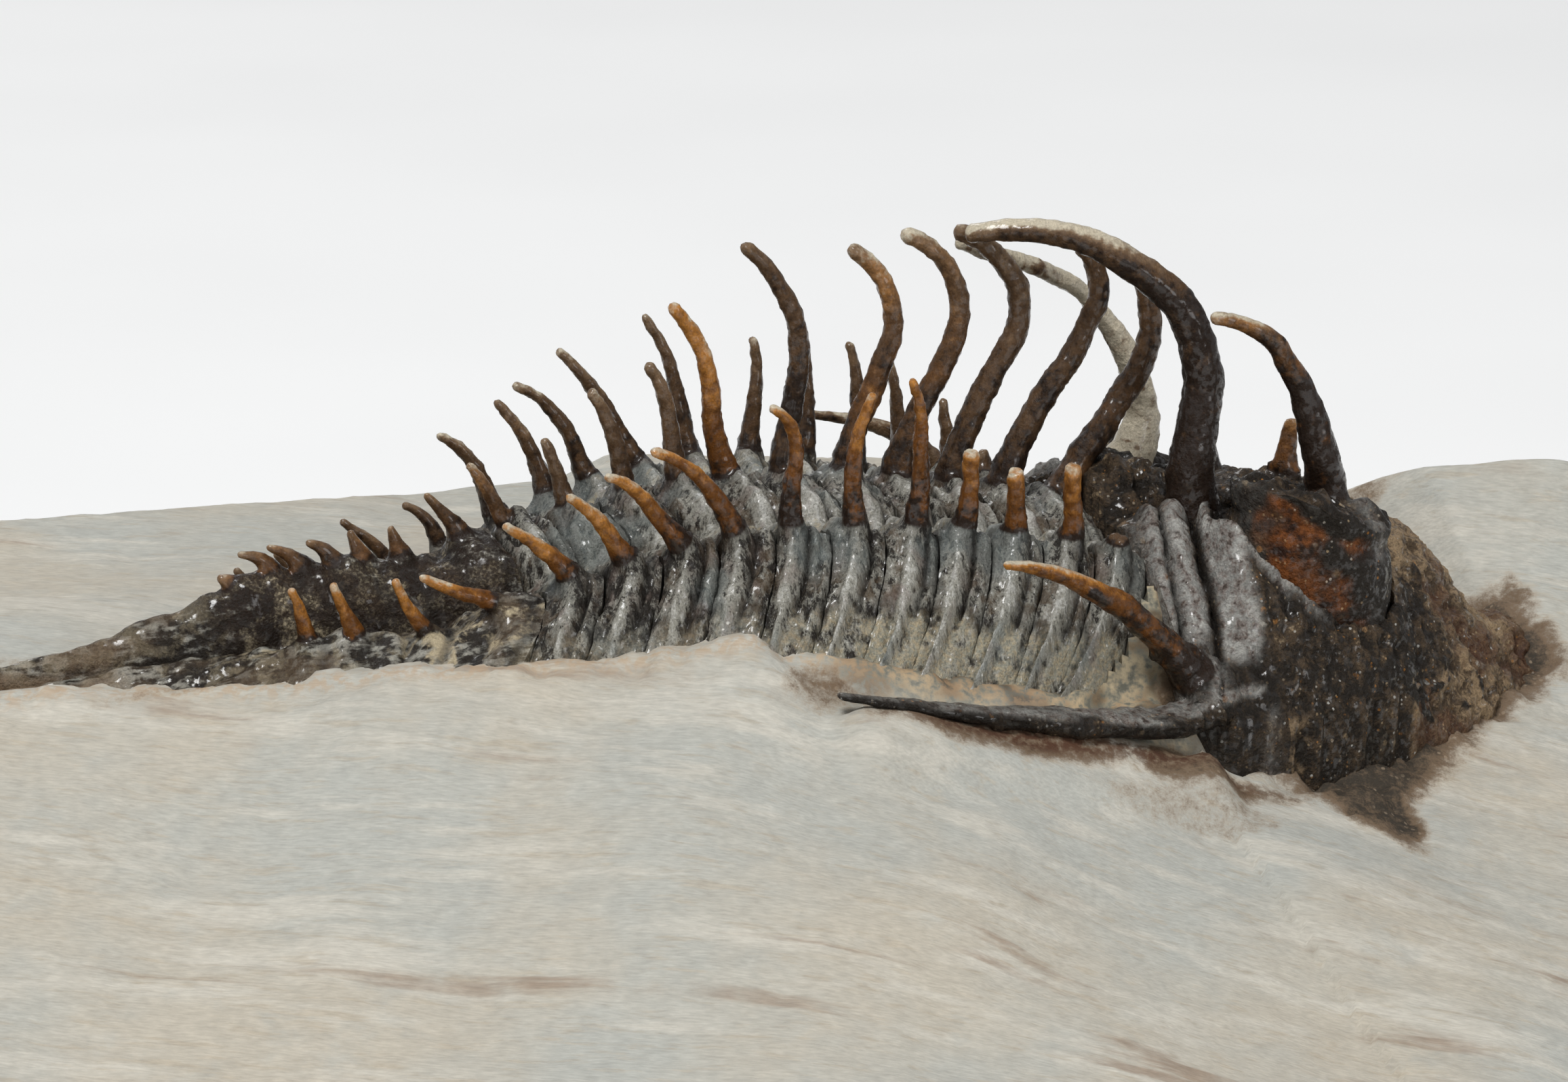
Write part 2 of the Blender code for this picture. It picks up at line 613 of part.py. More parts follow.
def make_cephalon(nodes, tools, parent, material):
    """The head shield with its eyes and the spines of the head, all grown as one piece."""
    rows = len(CEPHALON_ROWS) - 1
    shares = [-share for share in reversed(CEPHALON_HALF_SHARES)] + [0.0, *CEPHALON_HALF_SHARES]

    def surface(column, row):
        ahead = CEPHALON_ROWS[row]
        out = shares[column] * value_along(CEPHALON_HALF_WIDTH, ahead)
        return (ahead, out, cephalon_height(ahead, out))

    mesh = slab_mesh("cephalon", len(shares) - 1, rows, surface, CEPHALON_FLOOR)
    shield = add_object("cephalon", mesh, nodes, parent, material, (BORDER_AHEAD, 0.0, 1.0))
    for side in (-1.0, 1.0):
        side_name = "near" if side < 0.0 else "far"
        boolean(shield, "UNION", make_eye(side_name, side, tools, parent))
        genal = tube(f"{side_name}_genal_spine", genal_path(side), GENAL_RADII, tools, parent)
        boolean(shield, "UNION", genal)
    for name, (root, length, leans, splay, radii) in HEAD_SPINES.items():
        grow_spine(shield, f"{name}_spine", root, length, leans, splay, radii, tools, parent)


def body_cutter(tools, parent):
    """The hollow that the thorax and the tail shield lie in."""
    front = FIRST_SEGMENT_AHEAD + SEGMENT_PITCH / 2.0
    places = (front, *BODY_HOLLOW_ROWS)
    rows = len(places) - 1

    def surface(column, row):
        ahead = places[rows - row]
        out = body_columns(ahead, STONE_GAP)[column]
        return (swept_ahead(ahead, out), out, CUTTER_TOP)

    columns = len(body_columns(front)) - 1
    mesh = slab_mesh("body_hollow", columns, rows, surface, THORAX_FLOOR - STONE_GAP)
    return make_tool(add_object("body_hollow", mesh, tools, parent))


def cephalon_cutter(tools, parent):
    """The hollow that the head shield lies in."""
    rows = len(HEAD_HOLLOW_ROWS) - 1

    def surface(column, row):
        ahead = HEAD_HOLLOW_ROWS[row]
        width = value_along(CEPHALON_HALF_WIDTH, ahead) + STONE_GAP
        return (ahead, (column - 1) * width, CUTTER_TOP)

    mesh = slab_mesh("head_hollow", 2, rows, surface, CEPHALON_FLOOR - STONE_GAP)
    return make_tool(add_object("head_hollow", mesh, tools, parent))


def ragged(waves, place):
    """How far the block's broken edge stands out or in at a place along it, as a share."""
    return sum(share * math.sin(turns * place + phase) for share, turns, phase in waves)


def stone_outline_share(column, row):
    """A place on the block's upper side as shares of half its length and half its depth."""
    across = 2.0 * column / STONE_CELLS[0] - 1.0
    deep = 2.0 * row / STONE_CELLS[1] - 1.0
    x = across * math.sqrt(1.0 - STONE_CORNER_ROUNDING * deep ** 2)
    y = deep * math.sqrt(1.0 - STONE_CORNER_ROUNDING * across ** 2)
    x *= 1.0 + ragged(END_RAGGEDNESS, y) * abs(x) ** 3
    y *= 1.0 + ragged(SIDE_RAGGEDNESS, x) * abs(y) ** 3
    cut = BACK_LEFT_CUT / (STONE_DEPTH / 2.0) * smooth_step((BACK_LEFT_START - x) / BACK_LEFT_WIDTH)
    return x, y - cut * max(y, 0.0) ** 2


def make_stone(nodes, tools, stand, material):
    """The block: its upper side follows the ground beside the animal, its base is flat."""
    across, deep = STONE_CELLS
    shares = [
        stone_outline_share(column, row)
        for column in range(across + 1)
        for row in range(deep + 1)]
    low = [min(share[axis] for share in shares) for axis in range(2)]
    high = [max(share[axis] for share in shares) for axis in range(2)]
    size = (STONE_LENGTH, STONE_DEPTH)

    def surface(column, row):
        share = stone_outline_share(column, row)
        x, y = (
            ((share[axis] - low[axis]) / (high[axis] - low[axis]) - 0.5) * size[axis]
            for axis in range(2))
        from_body = Vector((x - BODY_PLACE[0], y - BODY_PLACE[1]))
        ahead = from_body.x * math.cos(TURN) + from_body.y * math.sin(TURN)
        out = -from_body.x * math.sin(TURN) + from_body.y * math.cos(TURN)
        return (x, y, BODY_PLACE[2] + ground_height(ahead, out) + swell(x, y))

    mesh = slab_mesh("matrix_stone", across, deep, surface, 0.0, STONE_BASE_SHARE)
    stone = add_object("matrix_stone", mesh, nodes, None, material)
    boolean(stone, "DIFFERENCE", body_cutter(tools, stand))
    boolean(stone, "DIFFERENCE", cephalon_cutter(tools, stand))
    for side in (-1.0, 1.0):
        side_name = "near" if side < 0.0 else "far"
        radii = tuple(radius + GENAL_GROOVE_GAP for radius in GENAL_RADII)
        points = genal_path(side)
        points.append(Vector(points[-1]) + Vector(GENAL_GROOVE_END))
        groove = tube(f"{side_name}_genal_groove", points, radii, tools, stand)
        boolean(stone, "DIFFERENCE", groove)


def main():
    """Makes the whole fossil."""
    remove_everything()
    nodes = new_collection("comura_trilobite_fossil")
    tools = new_collection("joined_shapes_and_cutters")
    stand = bpy.data.objects.new("animal_axes", None)
    stand.location = Vector(BODY_PLACE) * MM
    stand.rotation_euler = (0.0, 0.0, TURN)
    nodes.objects.link(stand)

    finishes = {name: finish_of(name, colour, 0.35) for name, colour in FOSSIL_FINISHES.items()}
    make_stone(nodes, tools, stand, finish_of("limestone", STONE_COLOUR, 0.85))
    make_cephalon(nodes, tools, stand, finishes["cephalon"])
    for number in range(1, SEGMENTS + 1):
        make_segment(number, nodes, tools, stand, finishes["thorax"])
    make_pygidium(nodes, tools, stand, finishes["pygidium"])


main()
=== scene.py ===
"""The looks of a spiny trilobite fossil that lies in its block of pale limestone.

The animal is shaped in its own coordinates, in millimetres: ahead towards its head, out from
its middle line (negative on the shown side) and up. Its lines are the same ones that the solid
pieces were made from, and each finished piece stands for one of them.
"""

import math

import bpy
import numpy as np
from bpy.props import FloatProperty, FloatVectorProperty, PointerProperty
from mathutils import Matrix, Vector


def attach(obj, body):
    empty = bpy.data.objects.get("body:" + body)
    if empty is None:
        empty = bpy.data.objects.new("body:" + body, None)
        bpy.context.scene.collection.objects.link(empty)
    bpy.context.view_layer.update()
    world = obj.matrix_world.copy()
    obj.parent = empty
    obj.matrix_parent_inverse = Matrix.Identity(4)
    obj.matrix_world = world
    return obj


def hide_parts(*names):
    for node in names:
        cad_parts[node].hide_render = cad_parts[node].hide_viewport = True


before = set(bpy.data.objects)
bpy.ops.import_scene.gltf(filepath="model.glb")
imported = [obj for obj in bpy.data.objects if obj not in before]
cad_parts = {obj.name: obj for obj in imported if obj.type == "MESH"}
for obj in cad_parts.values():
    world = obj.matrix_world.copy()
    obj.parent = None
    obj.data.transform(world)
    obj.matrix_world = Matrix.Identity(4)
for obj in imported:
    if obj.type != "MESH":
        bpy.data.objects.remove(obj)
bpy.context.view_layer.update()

bl_info = {
    "name": "Spiny Trilobite Fossil",
    "version": (1, 0, 0),
    "blender": (4, 5, 0),
    "location": "View3D > Sidebar > Fossil",
    "description": "Models and finishes a trilobite fossil on its block of limestone",
    "category": "Object",
}

MM = 0.001

# How the animal lies on the block.
TURN = math.radians(18.4)
BODY_PLACE = (0.0, 7.0, 24.0)
ROLL = 0.05

# The block of stone.
STONE_LENGTH = 80.0
STONE_DEPTH = 58.0
STONE_CORNER_ROUNDING = 0.26
STONE_BASE_SHARE = 0.96
BACK_LEFT_CUT = 6.5
BACK_LEFT_START = -0.25
BACK_LEFT_WIDTH = 0.55
RIPPLES = ((0.28, 0.21, 0.35, 0.0), (0.22, -0.12, 0.43, 1.7), (0.14, 0.61, -0.27, 0.6))
END_RAGGEDNESS = ((0.012, 9.0, 2.0), (0.01, 17.0, 0.0))
SIDE_RAGGEDNESS = ((0.02, 8.0, 1.0), (0.012, 15.0, 0.0))
STONE_CELLS = (300, 216)
WALL_ROWS = 22

# The thorax.
SEGMENTS = 11
FIRST_SEGMENT_AHEAD = 10.9
SEGMENT_PITCH = 2.08
RING_SEAM = 0.07
AXIAL_FURROW_SHARE = 0.25
FALL_POWER = 1.3
SWEEP_POWER = 1.8
THORAX_FLOOR = -5.6
PYGIDIUM_FLOOR = -4.4
CEPHALON_FLOOR = -9.0
RING_CELLS = (230, 26)

# Each line of the body: the places ahead of its middle, and the values there.
CREST_HEIGHT = (
    (-36, -31, -26, -22, -20, -14, -11, -7, -3, 2.5, 7, 11, 13),
    (-3.2, -2.4, -1.4, -0.3, 0.3, 0.6, 1.4, 2.2, 2.7, 2.4, 1.6, 0.8, 1.0))
SHOULDER_HEIGHT = (
    (-36, -31, -26, -23, -19, -15, -12, -8, -3, 2, 7, 11, 13),
    (-3.6, -3.1, -2.5, -2.2, -1.6, -1.3, -0.1, 1.1, 2.0, 1.8, 1.1, 0.2, -0.1))
FOOT_HEIGHT = (
    (-36, -24, -12, -3, 3, 7, 12),
    (-3.8, -3.4, -2.9, -2.6, -3.2, -4.4, -4.9))
AXIS_HALF_WIDTH = (
    (-36, -30, -24, -20, -10, 0, 12),
    (0.12, 0.35, 0.8, 1.3, 2.4, 3.3, 3.7))
SHOULDER_OUT = (
    (-36, -30, -24, -20, -16, -12, -8, -4, 1, 12),
    (0.22, 0.7, 1.5, 2.7, 3.8, 4.7, 5.9, 6.6, 7.0, 7.1))
BODY_HALF_WIDTH = (
    (-36, -30, -25, -20, -16, -12, -8, -4, 0, 8, 12),
    (0.4, 1.4, 2.6, 4.8, 6.3, 7.5, 8.8, 9.8, 10.6, 10.9, 10.4))
RING_BACK = (
    (-36, -24, -12, 0, 3, 12),
    (0.0, 0.2, 0.6, 0.42, 0.1, 0.0))
SWEEP_BACK = (
    (-36, -24, -18, -12, 0, 8, 12),
    (0.0, 0.0, 1.2, 2.3, 2.5, 3.2, 3.6))

# The cephalon, the shield over the head.
HEAD_REAR = 12.0
CEPHALON_ENDS = (12.1, 31.0)
CEPHALON_CELLS = (190, 170)
CEPHALON_FALL_POWER = 3
CEPHALON_HALF_WIDTH = (
    (12, 14, 17, 20, 23, 26, 28.5, 31),
    (11.6, 12.0, 11.6, 10.5, 8.9, 6.8, 4.7, 2.0))
CEPHALON_CREST = (
    (12, 13, 15, 17, 19, 21, 23, 25.4, 27, 28.5, 31),
    (0.9, 1.2, 0.8, 0.1, 0.1, 0.0, -0.7, -2.1, -3.6, -4.9, -6.6))
CEPHALON_MARGIN = (
    (12, 14, 17, 20, 24, 28, 31),
    (-5.2, -6.0, -7.0, -7.7, -8.1, -8.1, -7.9))
GLABELLA_HALF_WIDTH = (
    (12, 16, 20, 24, 28, 31),
    (3.6, 3.4, 3.9, 4.8, 4.0, 2.0))
GLABELLA_RISE = 0.7
GLABELLA_SLOPE_WIDTH = 2.0
GLABELLA_FURROW = 0.8
GLABELLA_FURROW_WIDTH = 0.7
EYE_AHEAD = 18.7
EYE_OUT = 6.4
EYE_RADII = (3.3, 2.7)
EYE_FOOT = -4.6
EYE_TOPS = {"near": 1.3, "far": 0.0}

# The lines of the ground beside the body, on the shown side and on the far side.
NEAR_GROUND = (
    (-44, -29, -22, -17.5, -11.4, -7.4, -4.3, -1.2, 3, 7, 14, 20, 26, 32, 44),
    (-3.4, -2.7, -2.8, -2.2, -2.1, -1.3, -0.9, -2.5, -4.0, -5.0, -6.9, -8.0, -8.0, -7.0, -6.0))
FAR_GROUND = (
    (-44, -20, -10, 0, 7, 14, 20, 30, 44),
    (-3.4, -3.0, -2.9, -3.3, -4.6, -6.2, -6.8, -6.6, -5.0))
FAR_PLATEAU = (
    (-44, -20, 0, 14, 24, 32, 38, 46),
    (-2.7, -2.6, -2.8, -3.2, -2.8, -1.6, -0.1, -0.8))
FRONT_SLOPE = ((-10, 0, 15, 25), (0.45, 0.45, 0.3, 0.3))
SLOPE_REACH = 25.0
FAR_SLOPE_WIDTH = 7.0

# Spines of the rings, from the first to the last. An axial spine has its length, then its lean
# from upright at the root, at each quarter of its length and at the tip, in degrees, positive
# towards the head. A side spine first has how far ahead of its ring's middle it stands.
AXIAL_SPINES = (
    (11.2, (30, 35, 35, -2, -55)),
    (10.8, (8, 28, 39, 19, -45)),
    (11.9, (6, 24, 35, -29, -74)),
    (11.2, (1, 28, 27, -22, -74)),
    (9.9, (4, 21, 24, -15, -68)),
    (9.8, (-12, 16, 1, -29, -46)),
    (7.4, (-28, -10, -4, -22, -46)),
    (4.9, (-10, -7, -6, -17, -38)),
    (4.4, (-6, -8, -12, -23, -43)),
    (2.9, (-20, -17, -14, -19, -27)),
    (3.0, (-45, -32, -28, -33, -41)))
NEAR_SPINES = (
    (0.0, 0.6, (0, 0, 0, 0, 0)),
    (0.1, 3.1, (4, 0, -2, -3, -2)),
    (0.0, 2.6, (-2, -3, -4, -5, -5)),
    (-0.1, 3.1, (10, 7, 4, 0, -4)),
    (0.2, 6.0, (4, 1, -2, -7, -20)),
    (0.0, 5.4, (-11, -4, 2, 11, 21)),
    (-0.3, 5.3, (-16, -1, 6, -16, -68)),
    (-0.2, 5.3, (-23, -28, -36, -56, -74)),
    (0.0, 4.6, (-34, -37, -36, -47, -80)),
    (0.0, 3.8, (-30, -31, -34, -44, -61)),
    (0.1, 3.6, (-20, -43, -50, -52, -59)))
FAR_SPINES = (
    (0.0, 1.2, (0, 0, 0, 0, 0)),
    (0.5, 3.0, (3, 1, -2, -6, -9)),
    (0.5, 4.3, (3, 2, -3, -8, -10)),
    (0.5, 4.8, (13, 10, 4, -6, -19)),
    (0.4, 5.4, (14, 9, 3, -2, -4)),
    (0.4, 4.8, (3, 7, 10, 3, -10)),
    (0.1, 6.1, (-14, -5, -11, -22, -31)),
    (0.2, 5.8, (-31, -26, -29, -36, -49)),
    (0.0, 5.1, (-19, -19, -25, -47, -78)),
    (0.2, 4.4, (-7, -12, -24, -37, -39)),
    (0.2, 4.2, (-14, -18, -24, -43, -70)))
BROKEN_NEAR_SPINES = 4
AXIAL_RADII = ((0.49, 0.44, 0.32), (0.27, 0.22, 0.14))
BROKEN_SPINE_RADII = (0.4, 0.34, 0.3)
SIDE_SPINE_RADII = (0.34, 0.26, 0.14)
SIDE_SPLAY = (8.0, 8.0)

# Spines of the tail shield: how far ahead they stand, then length and lean as above.
TAIL_HOOKS = (
    (-12.1, 2.4, (0, -19, -41, -41, -42)),
    (-14.4, 1.4, (-10, -14, -18, -17, -13)),
    (-15.9, 1.5, (-5, -13, -22, -26, -27)),
    (-17.1, 1.7, (5, -12, -37, -61, -80)),
    (-18.4, 1.8, (10, -19, -52, -63, -69)),
    (-19.6, 1.7, (10, -16, -47, -68, -80)),
    (-20.9, 0.8, (-11, -28, -45, -60, -75)))
TAIL_NEAR_SPINES = (
    (-12.3, 3.4, (-40, -68, -68, -63, -66)),
    (-14.8, 2.7, (-45, -38, -31, -26, -23)),
    (-17.4, 2.6, (-21, -24, -26, -23, -20)),
    (-19.3, 2.4, (-4, -13, -16, -21, -28)))
TAIL_FAR_SPINES = (
    (-12.3, 2.4, (-4, -13, -29, -52, -70)),
    (-14.7, 3.2, (20, 0, -40, -55, -40)),
    (-17.4, 2.4, (-30, -32, -34, -36, -40)),
    (-19.3, 2.1, (-30, -32, -34, -36, -40)))
HOOK_RADII = (0.38, 0.27, 0.12)
TAIL_CELLS = (130, 230)
TAIL_END = -36.0

# Spines of the head: root, length, lean, splay outwards at the root and the tip, and radii.
HEAD_SPINES = {
    "near_giant": (
        (15.3, -4.0, 0.2), 17.6, (-12, 15, -37, -71, -108), (4, -26), (0.92, 0.7, 0.36)),
    "far_giant": (
        (14.4, 4.0, -0.4), 16.9, (62, -8, -42, -68, -69), (4, -24), (0.9, 0.4, 0.28)),
    "near_eye": (
        (19.9, -6.0, 0.8), 10.0, (-4, -14, -21, -49, -84), (2, 2), (0.95, 0.5, 0.24)),
    "far_eye": (
        (19.9, 6.0, -0.8), 1.5, (-6, -6, -6, -6, -6), (0, 0), (0.85, 0.6, 0.5)),
    "glabella": (
        (21.2, 1.0, 0.0), 2.4, (3, 3, 4, 5, 5), (0, 0), (0.6, 0.4, 0.25)),
    "near_cheek": (
        (12.9, -10.4, -4.4), 10.1, (-25, -43, -55, -62, -86), (6, 6), (0.65, 0.5, 0.16)),
    "far_cheek": (
        (12.9, 10.4, -4.9), 10.7, (-28, -31, -40, -71, -84), (6, 6), (0.65, 0.48, 0.16)),
}
BROKEN_HEAD_SPINES = ("far_eye", "glabella")

# The long spine over the stone: the four points that bend its line, its radii and the height of
# the stone under it.
GENAL_STATIONS = (
    (13.4, 9.7, -4.7), (13.7, 12.6, -6.5), (6.5, 12.7, -4.95), (-2.2, 13.0, -2.95))
GENAL_RADII = (1.0, 0.8, 0.25)
FAR_GENAL_RISE = 1.1
GENAL_FOOT = (
    (-3.0, 0.3, 2.0, 4.6, 7.3, 10.0, 12.2),
    (-2.5, -3.0, -3.55, -4.4, -5.2, -5.85, -5.8))
ROOT_SINK = 0.5
RELAX_REACH = 1.25
SPINE_FULLNESS = 1.2

# The two low folds that run down the cheek: places ahead, and heights.
CHEEK_HOOK = ((13.5, -2.6), (13.5, -3.6), (13.05, -4.3), (12.3, -4.65), (11.2, -4.95))
CHEEK_CRESCENT = ((13.2, -6.3), (14.3, -6.1), (15.3, -5.3))

# Tones of the spines, read by the finishes: 0 is the shell, then black-brown, brown, tan, pale.
# Hues run from olive at 0 to amber at 1.
AXIAL_TONES = (
    (0.3, 0.4, 0.46), (0.3, 0.42, 0.52), (0.32, 0.42, 0.62), (0.32, 0.44, 0.72),
    (0.32, 0.46, 0.74), (0.28, 0.36, 0.5), (0.3, 0.58, 0.74), (0.28, 0.48, 0.66),
    (0.28, 0.48, 0.66), (0.3, 0.5, 0.64), (0.3, 0.55, 0.7))
AXIAL_HUES = (0.35, 0.2, 0.25, 0.4, 0.45, 0.2, 1.0, 0.3, 0.15, 0.2, 0.45)
NEAR_TONES = (
    (0.14, 0.16, 0.2), (0.26, 0.42, 0.62), (0.26, 0.45, 0.6), (0.26, 0.42, 0.56),
    (0.22, 0.42, 0.64), (0.22, 0.45, 0.66), (0.18, 0.4, 0.66), (0.2, 0.42, 0.68),
    (0.2, 0.5, 0.7), (0.24, 0.56, 0.72), (0.26, 0.54, 0.68))
FAR_TONES = (0.25, 0.42, 0.62)

# For each spine of the head: its tones, its hue, how much paler its upper side grows and how its root
# flares.
HEAD_LOOKS = {
    "near_giant": ((0.2, 0.22, 0.5), 0.15, 0.55, 0.25),
    "far_giant": ((0.98, 0.92, 0.9), 0.0, 0.1, 0.9),
    "near_eye": ((0.2, 0.24, 0.6), 0.45, 0.35, 0.0),
    "far_eye": ((0.24, 0.3, 0.35), 0.3, 0.1, 0.3),
    "glabella": ((0.3, 0.4, 0.5), 0.5, 0.1, 0.3),
    "near_cheek": ((0.22, 0.36, 0.62), 0.8, 0.3, 0.45),
    "far_cheek": ((0.4, 0.55, 0.7), 0.1, 0.1, 0.3),
}

# Stains on the stone: middle ahead and out, half length, half width and strength.
STAINS = (
    (-30.5, 0.2, 5.5, 0.9, 0.6), (-24.0, -2.9, 3.6, 0.6, 0.4), (-26.0, 3.0, 5.0, 0.8, 0.4),
    (24.0, 9.6, 6.0, 1.3, 0.7), (5.0, -13.3, 6.5, 0.9, 0.75), (12.0, -13.4, 4.0, 1.0, 0.8),
    (-2.4, -11.4, 1.6, 1.2, 0.55), (0.6, -8.9, 1.2, 0.8, 0.4), (11.0, -15.0, 4.5, 1.2, 0.36))
RED_STAINS = (
    (1.6, -12.3, 3.0, 0.55, 1.0), (5.2, -13.4, 4.2, 0.4, 0.9), (10.6, -13.2, 4.2, 0.4, 0.8),
    (1.2, -9.9, 1.8, 0.7, 0.7), (-0.6, -11.0, 1.0, 0.9, 0.6), (4.4, -10.6, 2.0, 0.45, 0.5))

# How far the dark stain reaches beyond the head: places ahead, and widths.
STAIN_REACH = (
    (13, 15, 16.5, 18, 19.8, 21.2, 23, 25, 27, 30, 32, 34),
    (1.5, 1.1, 1.6, 4.4, 5.2, 3.2, 2.0, 1.4, 1.3, 1.9, 2.0, 1.0))
FAR_STAIN_REACH = 1.2

# The turn of the stone's streaks, and the colours of painted glints: on small crystals of the rings,
# and on the eyes' lenses.
BEDDING_TURN = 0.15
CRYSTAL_GLINT = (0.75, 0.73, 0.67)
EYE_GLINT = (0.4, 0.27, 0.15)


def smooth_step(share):
    """Rises from 0 to 1 with level ends as the share goes from 0 to 1."""
    share = np.clip(share, 0.0, 1.0)
    return share * share * (3.0 - 2.0 * share)


def rise(distance, width):
    """Rises from 0 to 1 with level ends as a distance goes from 0 to a width."""
    return smooth_step(distance / width)


def bell(distance, width=1.0):
    """Falls from 1 to 0 on both sides of a line, over about a width."""
    return np.exp(-np.square(distance / width))


def along(line, ahead):
    """The height or width that a line of the body has at a place, on a smooth curve."""
    places, values = (np.array(row, dtype=float) for row in line)
    steep = np.empty_like(values)
    steep[1:-1] = (values[2:] - values[:-2]) / (places[2:] - places[:-2])
    steep[0] = (values[1] - values[0]) / (places[1] - places[0])
    steep[-1] = (values[-1] - values[-2]) / (places[-1] - places[-2])
    ahead = np.clip(ahead, places[0], places[-1])
    index = np.clip(np.searchsorted(places, ahead, side="right") - 1, 0, len(places) - 2)
    span = places[index + 1] - places[index]
    share = (ahead - places[index]) / span
    start, end = steep[index] * span, steep[index + 1] * span
    rise = values[index + 1] - values[index]
    return (values[index] + start * share
            + (3.0 * rise - 2.0 * start - end) * share ** 2
            + (start + end - 2.0 * rise) * share ** 3)


def between(values, share):
    """A value read from evenly spaced ones, on straight lines between them."""
    return np.interp(share, np.linspace(0.0, 1.0, len(values)), values)


def scatter(cells, seed):
    """A fixed random number from 0 to 1 for each whole-numbered cell."""
    turned = cells.astype(np.uint64)
    mixed = (turned[..., 0] * np.uint64(73856093) ^ turned[..., 1] * np.uint64(19349663)
             ^ turned[..., 2] * np.uint64(83492791) ^ np.uint64(seed * 2654435761 % 2 ** 32))
    mixed = (mixed ^ (mixed >> np.uint64(13))) * np.uint64(1274126177)
    mixed = mixed ^ (mixed >> np.uint64(16))
    return (mixed & np.uint64(0xFFFFFF)).astype(float) / 0xFFFFFF


def noise(points, size, seed):
    """Smooth noise from -1 to 1 whose lumps are about as large as size, in mm."""
    points = np.asarray(points, dtype=float) / size + 4096.0
    cells = np.floor(points)
    share = points - cells
    share *= share * (3.0 - 2.0 * share)
    total = np.zeros(points.shape[:-1])
    for corner in np.ndindex(2, 2, 2):
        weight = np.ones(points.shape[:-1])
        for axis, side in enumerate(corner):
            weight *= share[..., axis] if side else 1.0 - share[..., axis]
        total += weight * scatter(cells + np.array(corner), seed)
    return 2.0 * total - 1.0


def rough_noise(points, size, seed, layers=4):
    """Noise with finer and finer lumps laid over the large ones."""
    total, strength = 0.0, 1.0
    for layer in range(layers):
        total += strength * noise(points, size / 2.0 ** layer, seed + layer)
        strength *= 0.5
    return total


def stack(*rows):
    """Points from their ahead, out and up values."""
    return np.stack(np.broadcast_arrays(*rows), axis=-1)


def swept_ahead(ahead, out):
    """Where a line across the body runs: it bows back over the axis, and its ends sweep back."""
    axis = along(AXIS_HALF_WIDTH, ahead)
    shoulder = along(SHOULDER_OUT, ahead)
    edge = along(BODY_HALF_WIDTH, ahead)
    bow = along(RING_BACK, ahead) * np.clip(1.0 - (out / axis) ** 2, 0.0, 1.0)
    share = np.clip((np.abs(out) - shoulder) / (edge - shoulder), 0.0, None)
    return ahead - bow - along(SWEEP_BACK, ahead) * share ** SWEEP_POWER


def flank_share(ahead, out):
    """How far down the flank a place is: 0 at the shoulder, 1 at the foot."""
    shoulder = along(SHOULDER_OUT, ahead)
    edge = along(BODY_HALF_WIDTH, ahead)
    return np.clip((np.abs(out) - shoulder) / (edge - shoulder), 0.0, 1.0)


def unswept(points):
    """How far ahead points of the shell lay before the lines across the body were swept."""
    ahead = points[:, 0].copy()
    for _ in range(3):
        ahead += points[:, 0] - swept_ahead(ahead, points[:, 1])
    return ahead


def body_height(ahead, out):
    """Height of the back of the thorax and the tail shield."""
    side = np.abs(out)
    axis = along(AXIS_HALF_WIDTH, ahead)
    shoulder_out = along(SHOULDER_OUT, ahead)
    crest = along(CREST_HEIGHT, ahead)
    shoulder = along(SHOULDER_HEIGHT, ahead)
    furrow = np.minimum(crest, shoulder) - AXIAL_FURROW_SHARE * axis
    ring = furrow + (crest - furrow) * np.sqrt(np.clip(1.0 - (side / axis) ** 2, 0.0, 1.0))
    inner = furrow + (shoulder - furrow) * rise(side - axis, shoulder_out - axis)
    fall = flank_share(ahead, out) ** FALL_POWER
    flank = shoulder + (along(FOOT_HEIGHT, ahead) - shoulder) * fall
    height = np.where(side < axis, ring, np.where(side < shoulder_out, inner, flank))
    return height - ROLL * out


def cephalon_height(ahead, out):
    """Height of the head shield with its glabella."""
    width = along(CEPHALON_HALF_WIDTH, ahead)
    side = np.minimum(np.abs(out) / width, 1.0)
    crest = along(CEPHALON_CREST, ahead)
    margin = along(CEPHALON_MARGIN, ahead)
    height = margin + (crest - margin) * (1.0 - side ** CEPHALON_FALL_POWER)
    from_furrow = np.abs(out) - along(GLABELLA_HALF_WIDTH, ahead)
    height -= GLABELLA_FURROW * bell(from_furrow / GLABELLA_FURROW_WIDTH) * (1.0 - side)
    height += GLABELLA_RISE * smooth_step(-from_furrow / GLABELLA_SLOPE_WIDTH) * (1.0 - side)
    return height - ROLL * out


def outline_half_width(ahead):
    """Half the width of the whole animal at a place."""
    return np.where(
        ahead < HEAD_REAR, along(BODY_HALF_WIDTH, ahead), along(CEPHALON_HALF_WIDTH, ahead))


def ground_height(ahead, out):
    """Height of the stone's upper side around and under the animal."""
    edge = outline_half_width(ahead)
    near = along(NEAR_GROUND, ahead)
    far = along(FAR_GROUND, ahead)
    steep = along(FRONT_SLOPE, ahead)
    beyond = np.clip(-edge - out, 0.0, None)
    front = near - SLOPE_REACH * (1.0 - np.exp(-steep * beyond / SLOPE_REACH))
    plateau = along(FAR_PLATEAU, ahead)
    back = far + (plateau - far) * rise(out - edge, FAR_SLOPE_WIDTH)
    under = near + (far - near) * rise(out + edge, 2.0 * edge)
    return np.where(out < -edge, front, np.where(out > edge, back, under))


def to_world(points):
    """Turns and lifts points from the animal's millimetres onto the block, in metres."""
    ahead, out, up = points[..., 0], points[..., 1], points[..., 2]
    x = BODY_PLACE[0] + ahead * math.cos(TURN) - out * math.sin(TURN)
    y = BODY_PLACE[1] + ahead * math.sin(TURN) + out * math.cos(TURN)
    return np.stack((x, y, BODY_PLACE[2] + up), axis=-1) * MM


